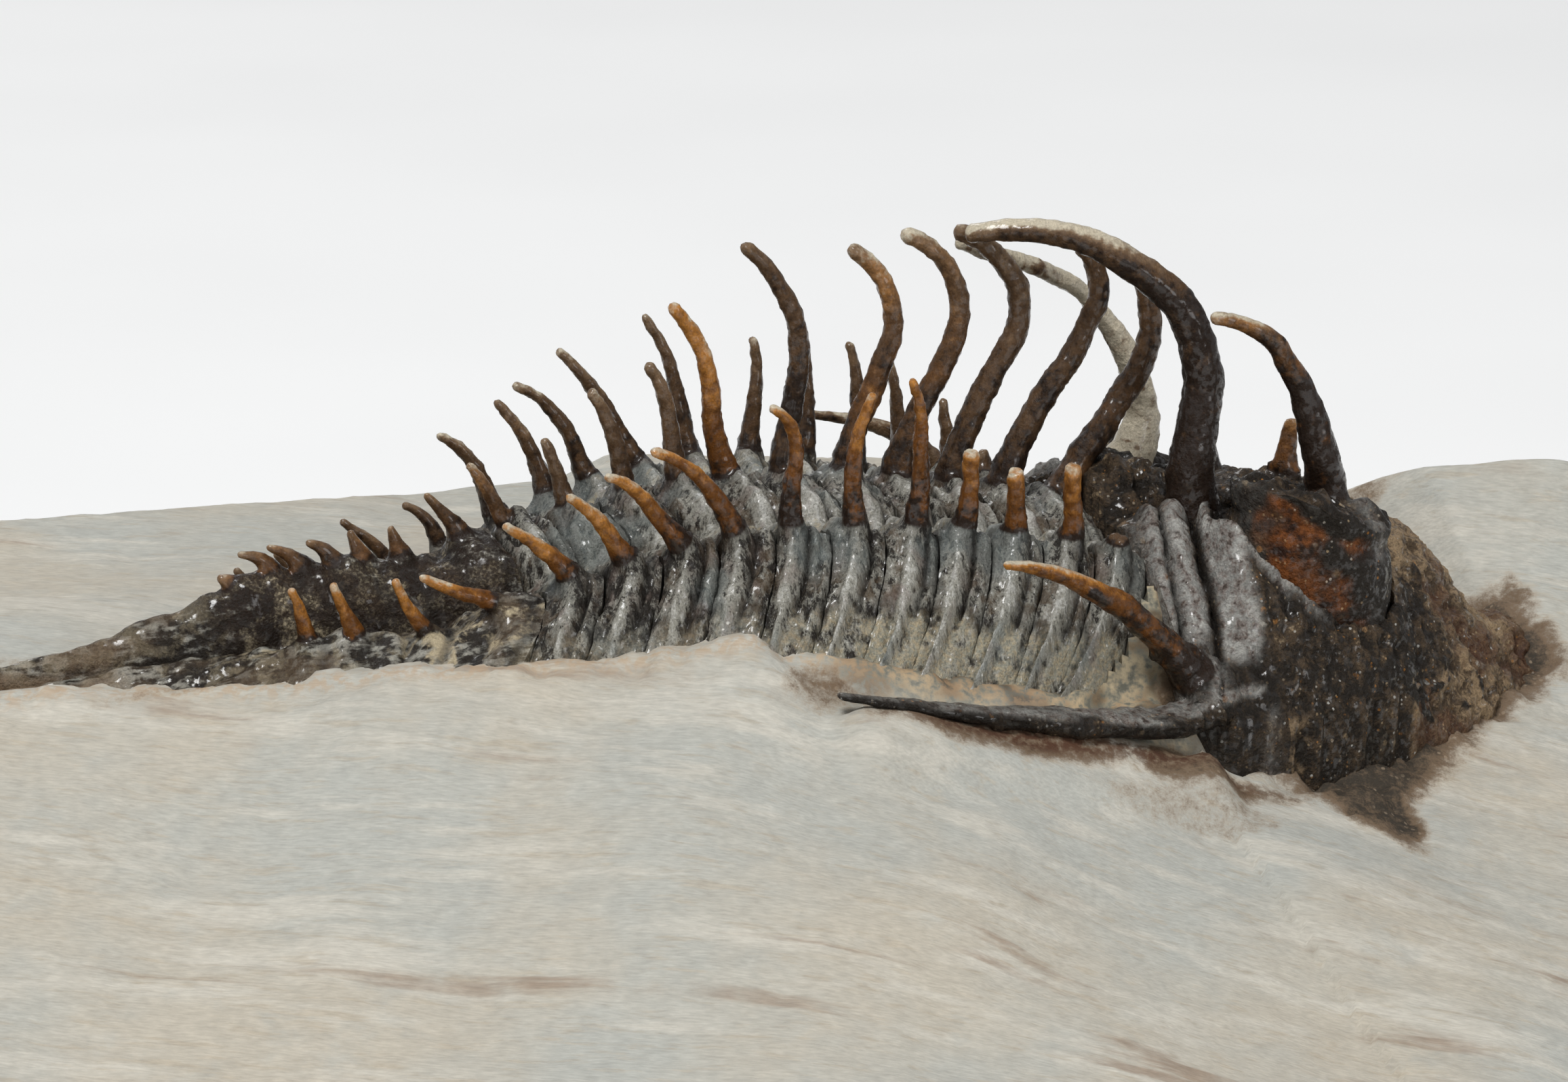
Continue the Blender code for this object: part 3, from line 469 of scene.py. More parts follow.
def to_animal(points):
    """Takes points on the block, in metres, back to the animal's own millimetres."""
    x = points[..., 0] / MM - BODY_PLACE[0]
    y = points[..., 1] / MM - BODY_PLACE[1]
    ahead = x * math.cos(TURN) + y * math.sin(TURN)
    out = y * math.cos(TURN) - x * math.sin(TURN)
    return np.stack((ahead, out, points[..., 2] / MM - BODY_PLACE[2]), axis=-1)


def vertex_places(piece):
    """The places of a piece's vertices as rows of numbers."""
    places = np.empty(len(piece.data.vertices) * 3)
    piece.data.vertices.foreach_get("co", places)
    return places.reshape(-1, 3)


def place_vertices(piece, places):
    """Moves the vertices of a piece."""
    piece.data.vertices.foreach_set("co", np.ascontiguousarray(places).ravel())
    piece.data.update()


def only(*pieces):
    """Selects these objects alone and makes the first of them active."""
    if bpy.context.object and bpy.context.object.mode != "OBJECT":
        bpy.ops.object.mode_set(mode="OBJECT")
    bpy.ops.object.select_all(action="DESELECT")
    for piece in pieces:
        piece.select_set(True)
    bpy.context.view_layer.objects.active = pieces[0]


def in_edit_mode(piece, how="VERT"):
    """Opens a piece for editing with nothing selected."""
    only(piece)
    bpy.ops.object.mode_set(mode="EDIT")
    bpy.ops.mesh.select_mode(type=how)
    bpy.ops.mesh.select_all(action="DESELECT")


def add_sheet(name, columns, rows):
    """A flat grid whose corners lie at 0 and 1, and the share of each vertex across and along."""
    bpy.ops.object.select_all(action="DESELECT")
    bpy.ops.mesh.primitive_grid_add(
        x_subdivisions=columns, y_subdivisions=rows, size=1.0, location=(0.0, 0.0, 0.0))
    sheet = bpy.context.object
    sheet.name = name
    sheet.data.name = name
    places = vertex_places(sheet)
    return sheet, places[:, 0] + 0.5, places[:, 1] + 0.5


def face_outwards():
    """Turns all faces of the piece in edit mode outwards and closes it for editing."""
    bpy.ops.mesh.select_all(action="SELECT")
    bpy.ops.mesh.normals_make_consistent(inside=False)
    bpy.ops.object.mode_set(mode="OBJECT")


def close_below(sheet, floor):
    """Extrudes a bent sheet down to a level floor and makes the floor one face."""
    count = len(sheet.data.vertices)
    in_edit_mode(sheet)
    bpy.ops.mesh.select_all(action="SELECT")
    bpy.ops.mesh.extrude_region_move(TRANSFORM_OT_translate={"value": (0.0, 0.0, -MM)})
    bpy.ops.object.mode_set(mode="OBJECT")
    places = vertex_places(sheet)
    places[count:, 2] = (BODY_PLACE[2] + floor) * MM
    place_vertices(sheet, places)
    bpy.ops.object.mode_set(mode="EDIT")
    bpy.ops.mesh.select_mode(type="FACE")
    bpy.ops.mesh.dissolve_faces()
    face_outwards()


def close_tube(piece):
    """Merges the seam and the ends of a rolled-up sheet and turns its faces outwards."""
    in_edit_mode(piece)
    bpy.ops.mesh.select_all(action="SELECT")
    bpy.ops.mesh.remove_doubles(threshold=0.0004 * MM)
    face_outwards()


def spine_line(root, length, leans, splay=(0.0, 0.0), count=160):
    """Points along a spine, walked from its sunk root by its lean and splay at each step."""
    step = (length + ROOT_SINK) / count
    share = (np.arange(count) + 0.5) / count
    lean = np.radians(between(leans, share))
    outwards = np.radians(between(splay, share))
    side = -1.0 if root[1] < 0.0 else 1.0
    moves = step * stack(
        np.sin(lean) * np.cos(outwards), side * np.sin(outwards), np.cos(lean) * np.cos(outwards))
    return np.array(root) + np.vstack((np.zeros((1, 3)), np.cumsum(moves, axis=0)))


def genal_line(side, count=160):
    """The line of the long spine that runs back over the stone from a corner of the head."""
    share = np.linspace(0.0, 1.0, count)[:, None]
    stations = [np.array(station) for station in GENAL_STATIONS]
    line = ((1.0 - share) ** 3 * stations[0] + 3.0 * share * (1.0 - share) ** 2 * stations[1]
            + 3.0 * share ** 2 * (1.0 - share) * stations[2] + share ** 3 * stations[3])
    rise = FAR_GENAL_RISE if side > 0.0 else 0.0
    line[:, 1] *= side
    line[:, 2] += rise - ROLL * line[:, 1]
    return line


class Spine:
    """One spine: its line, its radii along it, how its root flares and how its tip ends."""

    def __init__(self, line, radii, tones, hue=0.5, upper_paling=0.15, flare=0.35, broken=False, seed=1,
                 flat=None):
        self.line = line
        self.radii = radii
        self.tones = tones
        self.hue = hue
        self.upper_paling = upper_paling
        self.flare = flare
        self.broken = broken
        self.seed = seed
        self.flat = flat
        steps = np.linalg.norm(np.diff(line, axis=0), axis=1)
        self.lengths = np.concatenate(([0.0], np.cumsum(steps)))

    def at(self, length):
        """The points of the line at these lengths from its root."""
        return np.stack([np.interp(length, self.lengths, self.line[:, axis]) for axis in range(3)],
                        axis=-1)

    def radius_at(self, length):
        """The spine's radius at these lengths from its root, with the flare of its root."""
        total = self.lengths[-1]
        radius = between(self.radii, length / total)
        flare = self.flare * np.exp(-((length - ROOT_SINK) / (1.8 * self.radii[0])).clip(0.0) ** 1.5)
        return radius * (1.0 + flare)

    def build(self, name, sides=18):
        """The spine as a closed tube with a rounded or a broken tip."""
        total = self.lengths[-1]
        tip = self.radii[-1]
        spacing = 0.13
        body_rows = max(8, round((total - tip) / spacing))
        lengths = np.linspace(0.0, total - tip, body_rows + 1)
        factors = np.ones_like(lengths)
        if self.broken:
            lengths = np.concatenate((lengths, [total - 0.3 * tip, total, total]))
            factors = np.concatenate((factors, [1.0, 0.86, 0.0]))
        else:
            turn = np.radians([25.0, 50.0, 72.0, 90.0])
            lengths = np.concatenate((lengths, total - tip + tip * np.sin(turn)))
            factors = np.concatenate((factors, np.cos(turn)))
        lengths = np.concatenate(([0.0], lengths))
        factors = np.concatenate(([0.0], factors))
        rows = len(lengths) - 1
        tube, around, share = add_sheet(name, sides, rows)
        row = np.rint(share * rows).astype(int)
        angle = 2.0 * math.pi * np.where(around > 0.9999, 0.0, around)
        length = lengths[row]
        centre = self.at(length)
        forward = self.at(length + 0.05) - self.at(length - 0.05)
        forward /= np.linalg.norm(forward, axis=-1, keepdims=True)
        sideways = np.array([0.0, 1.0, 0.0]) - forward[:, 1:2] * forward
        sideways /= np.linalg.norm(sideways, axis=-1, keepdims=True)
        upwards = np.cross(forward, sideways)
        ring = stack(np.cos(angle) * 1.1, np.sin(angle) * 1.1, length * 0.9)
        fine = stack(np.cos(angle) * 2.4, np.sin(angle) * 2.4, length * 2.6)
        radius = self.radius_at(length) * factors[row]
        bumps = 0.085 * noise(ring, 1.0, self.seed) + 0.065 * noise(fine, 1.0, self.seed + 7)
        radius *= 1.0 + bumps - 0.05 * bell((angle + 0.6 * self.seed) % 2.1 - 1.0, 0.22)
        wander = stack(
            noise(stack(length, 3.0, 0.0), 1.3, self.seed + 3),
            noise(stack(length, 7.0, 0.0), 1.3, self.seed + 4), 0.0)
        wander *= (0.16 * self.radii[0] * smooth_step(length))[:, None]
        across, over = np.cos(angle), np.sin(angle)
        if self.flat:
            across, over = self.flat(across, over, length / total)
        places = (centre + wander + (radius * across)[:, None] * sideways
                  + (radius * over)[:, None] * upwards)
        if self.broken:
            end = row >= rows - 2
            places[end, 2] += 0.1 * noise(places[end], 0.25, self.seed)
            pole = row == rows
            places[pole] = places[pole].mean(axis=0)
        place_vertices(tube, to_world(places))
        close_tube(tube)
        return tube

    def tone_of(self, points):
        """The tone of this spine at points on it, and 0 elsewhere."""
        lengths = np.linspace(0.0, self.lengths[-1], 90)
        stations = self.at(lengths)
        reach = self.radii[0] * (1.6 + self.flare) + 0.3
        low, high = stations.min(axis=0) - reach, stations.max(axis=0) + reach
        near = np.all((points > low) & (points < high), axis=1)
        chosen = points[near]
        found = np.full(len(chosen), np.inf)
        nearest = np.zeros(len(chosen), dtype=int)
        for index, station in enumerate(stations):
            distance = np.linalg.norm(chosen - station, axis=1)
            closer = distance < found
            found[closer] = distance[closer]
            nearest[closer] = index
        length = lengths[nearest]
        total = self.lengths[-1]
        radius = self.radius_at(length)
        beyond = found - radius * 1.12
        share = length / total
        above = (chosen[:, 2] - stations[nearest, 2]) / radius
        value = between(self.tones, share)
        # Paler on the upper side, from 40 % of the length on.
        value += self.upper_paling * rise(share - 0.4, 0.3) * smooth_step(above * 1.3)
        value += 0.3 * rise(length - total + 0.45, 0.35) * (1.0 - value)
        value = np.where((length > total - 0.16) & self.broken, value + 0.1, value)
        rooted = rise(length - ROOT_SINK - 0.05, 0.5)
        tone = np.zeros(len(points))
        tone[near] = np.clip(value, 0.0, 1.0) * smooth_step(1.0 - beyond / 0.12) * rooted
        return tone


def paint_spines(piece, points, spines, covered=0.0):
    """Stores the tones and hues of a piece's spines for its finish."""
    tone, hue = np.zeros(len(points)), np.full(len(points), 0.5)
    for spine in spines:
        own = spine.tone_of(points)
        hue = np.where(own > tone, spine.hue, hue)
        tone = np.maximum(tone, own)
    paint(piece, "tone", tone * (1.0 - covered))
    paint(piece, "hue", hue)


def on_line(ahead, up, line, width):
    """1 on a line given by points ahead and up, fading away over the width."""
    found = np.full(np.shape(ahead), np.inf)
    for (start_ahead, start_up), (end_ahead, end_up) in zip(line, line[1:]):
        run, rise = end_ahead - start_ahead, end_up - start_up
        share = ((ahead - start_ahead) * run + (up - start_up) * rise) / (run * run + rise * rise)
        share = np.clip(share, 0.0, 1.0)
        distance = np.hypot(ahead - start_ahead - share * run, up - start_up - share * rise)
        found = np.minimum(found, distance)
    return bell(found / width)


def push_out(piece, amounts):
    """Moves each vertex along its normal by its own amount, in mm."""
    normals = np.empty(len(piece.data.vertices) * 3)
    piece.data.vertex_normals.foreach_get("vector", normals)
    moves = normals.reshape(-1, 3) * (np.asarray(amounts) * MM)[:, None]
    place_vertices(piece, vertex_places(piece) + moves)


def fuse(piece, parts):
    """Joins grown-on parts to a piece as one closed skin."""
    for part in parts:
        only(piece)
        bpy.ops.object.modifier_add(type="BOOLEAN")
        joint = piece.modifiers[-1]
        joint.operation = "UNION"
        joint.solver = "EXACT"
        joint.object = part
        before = len(piece.data.vertices)
        bpy.ops.object.modifier_apply(modifier=joint.name)
        if len(piece.data.vertices) < before // 2:
            raise RuntimeError(f"{part.name} did not join {piece.name}")
        bpy.data.meshes.remove(part.data)


def join(parts):
    """Makes one object of several that don't touch."""
    only(*parts)
    if len(parts) > 1:
        bpy.ops.object.join()
    return bpy.context.object


def roughen(piece, size, strength):
    """Adds fine cloudy relief along the normals, size and strength in mm."""
    grain = bpy.data.textures.new(f"{piece.name}_grain", "CLOUDS")
    grain.noise_scale = size * MM
    grain.noise_depth = 3
    only(piece)
    bpy.ops.object.modifier_add(type="DISPLACE")
    relief = piece.modifiers[-1]
    relief.texture = grain
    relief.texture_coords = "LOCAL"
    relief.strength = strength * MM
    relief.mid_level = 0.5
    bpy.ops.object.modifier_apply(modifier=relief.name)
    bpy.data.textures.remove(grain)


def relax_roots(piece, spines):
    """Softens the corner where each spine leaves the shell."""
    points = to_animal(vertex_places(piece))
    chosen = np.zeros(len(points), dtype=bool)
    for spine in spines:
        distance = np.linalg.norm(points - spine.at(ROOT_SINK), axis=1)
        chosen |= distance < spine.radii[0] * (1.0 + spine.flare) * RELAX_REACH
    in_edit_mode(piece)
    bpy.ops.object.mode_set(mode="OBJECT")
    piece.data.vertices.foreach_set("select", chosen)
    bpy.ops.object.mode_set(mode="EDIT")
    bpy.ops.mesh.vertices_smooth(factor=0.5, repeat=4)
    bpy.ops.object.mode_set(mode="OBJECT")


def paint(piece, name, values):
    """Stores one value for each vertex, which the finish of the piece reads."""
    layer = piece.data.attributes.new(name=name, type="FLOAT", domain="POINT")
    layer.data.foreach_set("value", np.clip(values, 0.0, 1.0).astype(np.float32))


def finish_piece(piece, node, material, angle=55.0):
    """Shades a finished piece, gives it its material and puts it in its solid's place."""
    piece.data.validate()
    only(piece)
    bpy.ops.object.shade_smooth_by_angle(angle=math.radians(angle))
    piece.data.materials.clear()
    piece.data.materials.append(material)
    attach(piece, "root")
    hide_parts(node)


def add_node(tree, kind, inputs=None, **settings):
    """Adds a shader node, with its settings and with values or links for its inputs."""
    made = tree.nodes.new(kind)
    for key, value in settings.items():
        setattr(made, key, value)
    for key, value in (inputs or {}).items():
        socket = made.inputs[key]
        if isinstance(value, bpy.types.NodeSocket):
            tree.links.new(value, socket)
        elif socket.type == "RGBA" and len(value) == 3:
            socket.default_value = (*value, 1.0)
        else:
            socket.default_value = value
    return made


def feed(tree, target, sources):
    """Links outputs to a node's inputs, by the inputs' names."""
    for key, source in sources.items():
        tree.links.new(source, target.inputs[key])


def maths(tree, operation, first, second):
    """The result of one sum on two values."""
    return add_node(tree, "ShaderNodeMath", {0: first, 1: second}, operation=operation).outputs[0]


def plus(tree, first, second):
    """Two values added."""
    return maths(tree, "ADD", first, second)


def times(tree, first, second):
    """Two values multiplied."""
    return maths(tree, "MULTIPLY", first, second)


def scaled(tree, cloud, amount, middle=0.5):
    """A cloud's height about its middle, times an amount."""
    return times(tree, maths(tree, "SUBTRACT", cloud, middle), amount)


def varied(tree, value, *clouds):
    """A value moved up and down by clouds, each given with its amount."""
    for cloud, amount in clouds:
        value = plus(tree, value, scaled(tree, cloud, amount))
    return value


def blend(tree, share, first, second, how="MIX"):
    """A mix of two colours."""
    return add_node(tree, "ShaderNodeMix", {0: share, 6: first, 7: second},
                    data_type="RGBA", blend_type=how, clamp_factor=True).outputs[2]


def layered(tree, base, layers):
    """Colours laid over a base one after another, each as strongly as its own mask says."""
    for mask, colour in layers:
        base = blend(tree, mask, base, colour)
    return base


def stretch(tree, value, low, high, top=1.0, bottom=0.0, smooth=True):
    """A value moved from one range to another, from bottom to top, and kept inside it."""
    return add_node(
        tree, "ShaderNodeMapRange",
        {"Value": value, "From Min": low, "From Max": high, "To Min": bottom, "To Max": top},
        interpolation_type="SMOOTHSTEP" if smooth else "LINEAR").outputs["Result"]


def new_group(name, inputs, outputs):
    """An empty shader node group with named sockets, its inputs' values and its output node."""
    tree = bpy.data.node_groups.new(name, "ShaderNodeTree")
    for way, sockets in (("INPUT", inputs), ("OUTPUT", outputs)):
        for kind, labels in sockets.items():
            for label in labels:
                tree.interface.new_socket(
                    name=label, in_out=way, socket_type=f"NodeSocket{kind}")
    return tree, tree.nodes.new("NodeGroupInput").outputs, tree.nodes.new("NodeGroupOutput")


def use_group(tree, name, build, inputs):
    """Places a node group in a material with its own values. It is built the first time."""
    group = bpy.data.node_groups.get(name) or build(name)
    return add_node(tree, "ShaderNodeGroup", inputs, node_tree=group).outputs


def build_mottle(name):
    """Three sizes of cloudy variation."""
    tree, given, end = new_group(
        name, {"Vector": ("Place",), "Float": ("Size", "Detail")},
        {"Float": ("Large", "Middle", "Fine")})
    scale = maths(tree, "DIVIDE", 1000.0, given["Size"])
    for label, factor in (("Large", 1.0), ("Middle", 4.0), ("Fine", 18.0)):
        cloud = add_node(tree, "ShaderNodeTexNoise", {
            "Vector": given["Place"], "Scale": times(tree, scale, factor),
            "Detail": given["Detail"], "Roughness": 0.58})
        feed(tree, end, {label: cloud.outputs["Fac"]})
    return tree


def mottle(tree, place, size, detail=5.0):
    """Large, middle and fine clouds for colour, roughness and relief, size in mm."""
    return use_group(tree, "mineral_mottle", build_mottle, {
        "Place": place, "Size": size, "Detail": detail})


def build_specks(name):
    """Scattered small grains, such as crystals that catch the light."""
    tree, given, end = new_group(
        name, {"Vector": ("Place",), "Float": ("Size", "Share")}, {"Float": ("Mask", "Facet")})
    scale = maths(tree, "DIVIDE", 1000.0, given["Size"])
    cells = add_node(
        tree, "ShaderNodeTexVoronoi", {"Vector": given["Place"], "Scale": scale}).outputs
    parts = add_node(tree, "ShaderNodeSeparateColor", {"Color": cells["Color"]}).outputs
    rare = maths(tree, "SUBTRACT", 1.0, given["Share"])
    chosen = maths(tree, "GREATER_THAN", parts["Red"], rare)
    round_grain = stretch(tree, cells["Distance"], 0.42, 0.28)
    feed(tree, end, {"Mask": times(tree, chosen, round_grain), "Facet": parts["Green"]})
    return tree


def specks(tree, place, size, share):
    """Scattered grains, size in mm, that fill a share of the cells."""
    return use_group(tree, "scattered_grains", build_specks, {
        "Place": place, "Size": size, "Share": share})


def build_spine_colours(name):
    """The colours of a spine, read from its tone: black-brown, brown, tan and pale."""
    tree, given, end = new_group(
        name, {"Color": ("Shell", "Root", "Olive Middle", "Olive Tip", "Amber Middle",
                         "Amber Tip", "Worn"),
               "Float": ("Tone", "Hue", "Variation", "Speckle")},
        {"Color": ("Colour",), "Float": ("Mask",)})
    shift = scaled(tree, given["Variation"], 0.5)
    grain = scaled(tree, given["Speckle"], 0.5)
    mask = stretch(tree, given["Tone"], 0.05, 0.16)
    toned = plus(tree, given["Tone"], plus(tree, shift, grain))
    amber = stretch(tree, plus(tree, given["Hue"], shift), 0.3, 0.7)
    colour = layered(tree, given["Root"], (
        (stretch(tree, toned, 0.26, 0.46),
         blend(tree, amber, given["Olive Middle"], given["Amber Middle"])),
        (stretch(tree, toned, 0.46, 0.74),
         blend(tree, amber, given["Olive Tip"], given["Amber Tip"])),
        (stretch(tree, toned, 0.7, 0.95), given["Worn"])))
    feed(tree, end, {"Colour": blend(tree, mask, given["Shell"], colour), "Mask": mask})
    return tree


def new_material(name):
    """An empty material with its shader, and places on the object to read."""
    material = bpy.data.materials.new(name)
    material.use_nodes = True
    tree = material.node_tree
    place = add_node(tree, "ShaderNodeTexCoord").outputs["Object"]
    return material, tree, tree.nodes["Principled BSDF"], place


def stored(tree, name):
    """A value that was painted on the piece."""
    return add_node(tree, "ShaderNodeAttribute", attribute_name=name).outputs["Fac"]


def bump(tree, height, distance, normal=None, strength=1.0):
    """A normal tilted by a height, distance in mm."""
    inputs = {"Height": height, "Strength": strength, "Distance": distance * MM}
    if normal:
        inputs["Normal"] = normal
    return add_node(tree, "ShaderNodeBump", inputs).outputs["Normal"]


def turned(tree, place, turn, scale):
    """Places turned about the upright axis and then stretched along the turned axes."""
    first = add_node(tree, "ShaderNodeMapping", {"Vector": place, "Rotation": (0.0, 0.0, turn)})
    return add_node(tree, "ShaderNodeMapping", {
        "Vector": first.outputs["Vector"], "Scale": scale}).outputs["Vector"]


def darkened(tree, colour, value, low, high, deepest, brightest):
    """A colour made darker or lighter by a grain value."""
    shade = stretch(tree, value, low, high, brightest, deepest, smooth=False)
    tint = add_node(tree, "ShaderNodeCombineColor", {0: shade, 1: shade, 2: shade}).outputs[0]
    return blend(tree, 1.0, colour, tint, "MULTIPLY")


def limestone_finish(colours):
    """Pale, matt, fine-grained stone with tan and blue-grey patches and brown stains."""
    material, tree, shader, place = new_material("limestone")
    clouds = mottle(tree, place, 13.0)
    streaks = mottle(tree, turned(tree, place, BEDDING_TURN, (0.16, 1.0, 0.8)), 1.5)
    crumbs = mottle(tree, place, 1.4)
    seams = add_node(tree, "ShaderNodeTexNoise", {
        "Vector": turned(tree, place, BEDDING_TURN, (0.055, 1.0, 0.6)), "Scale": 620.0,
        "Detail": 4.0, "Roughness": 0.55, "Distortion": 0.25}).outputs["Fac"]
    seams = times(tree, stretch(tree, seams, 0.57, 0.68),
                  stretch(tree, clouds["Large"], 0.46, 0.58, 0.7))
    base = layered(tree, colours.stone_cool, (
        (stretch(tree, clouds["Large"], 0.38, 0.62), colours.stone_warm),
        (stretch(tree, streaks["Large"], 0.5, 0.66, 0.75), colours.stone_pale),
        (stretch(tree, clouds["Middle"], 0.54, 0.7, 0.5), colours.stone_cool),
        (stretch(tree, streaks["Middle"], 0.46, 0.32, 0.4), colours.stone_tan),
        (seams, colours.stone_seam)))
    base = darkened(tree, base, streaks["Fine"], 0.3, 0.7, 0.86, 1.12)
    base = darkened(tree, base, clouds["Fine"], 0.3, 0.7, 0.92, 1.06)
    shelf = layered(tree, colours.calcite_green, (
        (stretch(tree, crumbs["Middle"], 0.36, 0.6), colours.calcite_cream),
        (stretch(tree, crumbs["Large"], 0.48, 0.62, 0.85), colours.calcite_brown)))
    shelf = darkened(tree, shelf, crumbs["Middle"], 0.35, 0.65, 0.5, 1.25)
    given = stored(tree, "stain")
    stain = varied(tree, given, (crumbs["Large"], 0.4), (crumbs["Middle"], 0.6),
                   (crumbs["Fine"], 0.4))
    stain = times(tree, stain, stretch(tree, given, 0.0, 0.3))
    grains = times(tree, specks(tree, place, 0.24, 0.25)["Mask"],
                   stretch(tree, crumbs["Large"], 0.45, 0.6, 0.5))
    rust = layered(tree, colours.stain_tan, (
        (stretch(tree, stain, 0.25, 0.6), colours.stain_warm),
        (stretch(tree, stain, 0.7, 1.1), colours.stain_dark),
        (grains, colours.stain_tan)))
    red = times(tree, stored(tree, "red"), stretch(tree, crumbs["Middle"], 0.34, 0.56, 0.9))
    rim = times(tree, stored(tree, "rim"), stretch(tree, crumbs["Middle"], 0.4, 0.6, 0.55))
    base = layered(tree, base, (
        (stored(tree, "shelf"), shelf), (stretch(tree, stain, 0.06, 0.74, 0.97), rust),
        (red, colours.stain_red), (rim, colours.stone_rim)))
    fine = bump(tree, streaks["Fine"], 0.05, strength=0.3)
    middle = scaled(tree, streaks["Middle"], plus(tree, 0.3, stored(tree, "broken")))
    middle = bump(tree, middle, 0.14, fine)
    coarse = scaled(tree, crumbs["Middle"], plus(tree, 0.08, given))
    feed(tree, shader, {
        "Base Color": base, "Normal": bump(tree, coarse, 0.16, middle),
        "Roughness": stretch(tree, clouds["Fine"], 0.3, 0.7, 0.9, 0.7, smooth=False)})
    shader.inputs["Specular IOR Level"].default_value = 0.25
    return material


def shell_finish(name, colours, shell):
    """Shared steps of the three fossil finishes. shell gives the colour, roughness and height."""
    material, tree, shader, place = new_material(name)
    base, rough, height = shell(tree, place)
    clouds = mottle(tree, place, 1.6)
    spine = use_group(tree, "spine_tones", build_spine_colours, {
        "Shell": base, "Tone": stored(tree, "tone"), "Hue": stored(tree, "hue"),
        "Variation": clouds["Large"], "Speckle": clouds["Middle"], "Root": colours.spine_root,
        "Olive Middle": colours.olive_middle, "Olive Tip": colours.olive_tip,
        "Amber Middle": colours.amber_middle, "Amber Tip": colours.amber_tip,
        "Worn": colours.spine_worn})
    spine_rough = stretch(tree, clouds["Middle"], 0.35, 0.65, 0.6, 0.3, smooth=False)
    rough = add_node(tree, "ShaderNodeMix", {0: spine["Mask"], 2: rough, 3: spine_rough})
    calmer = stretch(tree, spine["Mask"], 0.0, 1.0, 0.35, 0.8, smooth=False)
    fine = bump(tree, scaled(tree, clouds["Fine"], calmer), 0.08)
    glints = mottle(tree, place, 1.1, 4.0)
    gloss = plus(tree, glints["Middle"], times(tree, spine["Mask"], 0.06))
    feed(tree, shader, {
        "Base Color": darkened(tree, spine["Colour"], clouds["Fine"], 0.3, 0.7, 0.74, 1.26),
        "Roughness": rough.outputs[0],
        "Normal": bump(tree, scaled(tree, height, calmer), 0.2, fine),
        "Coat Weight": stretch(tree, gloss, 0.5, 0.6, 0.7)})
    shader.inputs["Specular IOR Level"].default_value = 0.18
    shader.inputs["Coat Roughness"].default_value = 0.16
    return material


def thorax_finish(colours):
    """Glassy grey calcite with smooth bands, rough dark hollows and cream patches, with painted
    highlights, glints and shade.
    """

    def shell(tree, place):
        streaks = mottle(tree, turned(tree, place, -TURN, (1.0, 1.0, 0.22)), 0.9)
        clouds = mottle(tree, place, 3.0)
        # The light mark holds painted highlights and shade as well as the calcite's own tone.
        light = varied(tree, times(tree, stored(tree, "light"), 0.85), (streaks["Middle"], 1.5))
        light = plus(tree, light, scaled(tree, streaks["Fine"], 0.9, middle=0.48))
        light = varied(tree, light, (clouds["Middle"], 0.6))
        warm = times(tree, stretch(tree, clouds["Middle"], 0.47, 0.6, 0.8),
                     maths(tree, "SUBTRACT", 1.0, stored(tree, "band")))
        cream = blend(tree, stretch(tree, clouds["Fine"], 0.4, 0.62),
                      colours.calcite_green, colours.calcite_cream)
        fill = times(tree, stored(tree, "fill"),
                     stretch(tree, clouds["Middle"], 0.34, 0.56, 0.85))
        # Painted glints: bright specks where the painted light is strong.
        glints = times(tree, specks(tree, place, 0.17, 0.1)["Mask"],
                       stretch(tree, light, 0.36, 0.6, 0.85))
        grey = layered(tree, colours.calcite_dark, (
            (stretch(tree, light, 0.06, 0.36), colours.calcite_grey),
            (stretch(tree, light, 0.38, 0.78), colours.calcite_light),
            (warm, colours.calcite_brown),
            (stretch(tree, streaks["Large"], 0.52, 0.66, 0.5), colours.calcite_mauve),
            (stretch(tree, clouds["Large"], 0.5, 0.62, 0.6), colours.calcite_blue),
            (fill, cream),
            # Painted shade in grooves and hollows.
            (times(tree, stored(tree, "groove"), 0.85), colours.groove),
            (glints, CRYSTAL_GLINT)))
        rough = stretch(tree, streaks["Middle"], 0.3, 0.7, 0.55, 0.22, smooth=False)
        return grey, rough, streaks["Middle"]

    return shell_finish("thorax_calcite", colours, shell)


def tail_finish(colours):
    """Dark mottled calcite with broken pale patches, fading to a stain at the tail's end."""

    def shell(tree, place):
        clouds = mottle(tree, place, 2.2, 6.0)
        streaks = mottle(tree, turned(tree, place, -TURN, (0.22, 1.0, 1.0)), 1.0)
        # The light mark holds painted highlights and shade as well as the calcite's own tone.
        light = varied(tree, times(tree, stored(tree, "light"), 0.7),
                       (clouds["Middle"], 1.3), (streaks["Middle"], 1.3))
        pale = add_node(tree, "ShaderNodeTexNoise", {
            "Vector": place, "Scale": 1000.0 / 1.3, "Detail": 7.0, "Roughness": 0.62,
            "Distortion": 0.4}).outputs["Fac"]
        pale = times(tree, stretch(tree, pale, 0.49, 0.59), stored(tree, "fill"))
        crest = times(tree, stored(tree, "crest"),
                      stretch(tree, clouds["Fine"], 0.34, 0.55, 0.85))
        end = times(tree, stored(tree, "end"),
                    stretch(tree, streaks["Large"], 0.38, 0.58, 0.8))
        grey = layered(tree, colours.shell_dark, (
            (stretch(tree, light, 0.12, 0.42), colours.calcite_grey),
            (stretch(tree, light, 0.45, 0.8), colours.calcite_light),
            (stretch(tree, clouds["Large"], 0.46, 0.6, 0.8), colours.calcite_brown),
            (pale, colours.calcite_cream), (crest, colours.spine_root),
            (end, colours.stain_warm),
            # Painted shade in grooves and hollows.
            (times(tree, stored(tree, "groove"), 0.7), colours.groove)))
        rough = stretch(tree, clouds["Middle"], 0.3, 0.7, 0.62, 0.28, smooth=False)
        return grey, rough, clouds["Middle"]

    return shell_finish("tail_calcite", colours, shell)


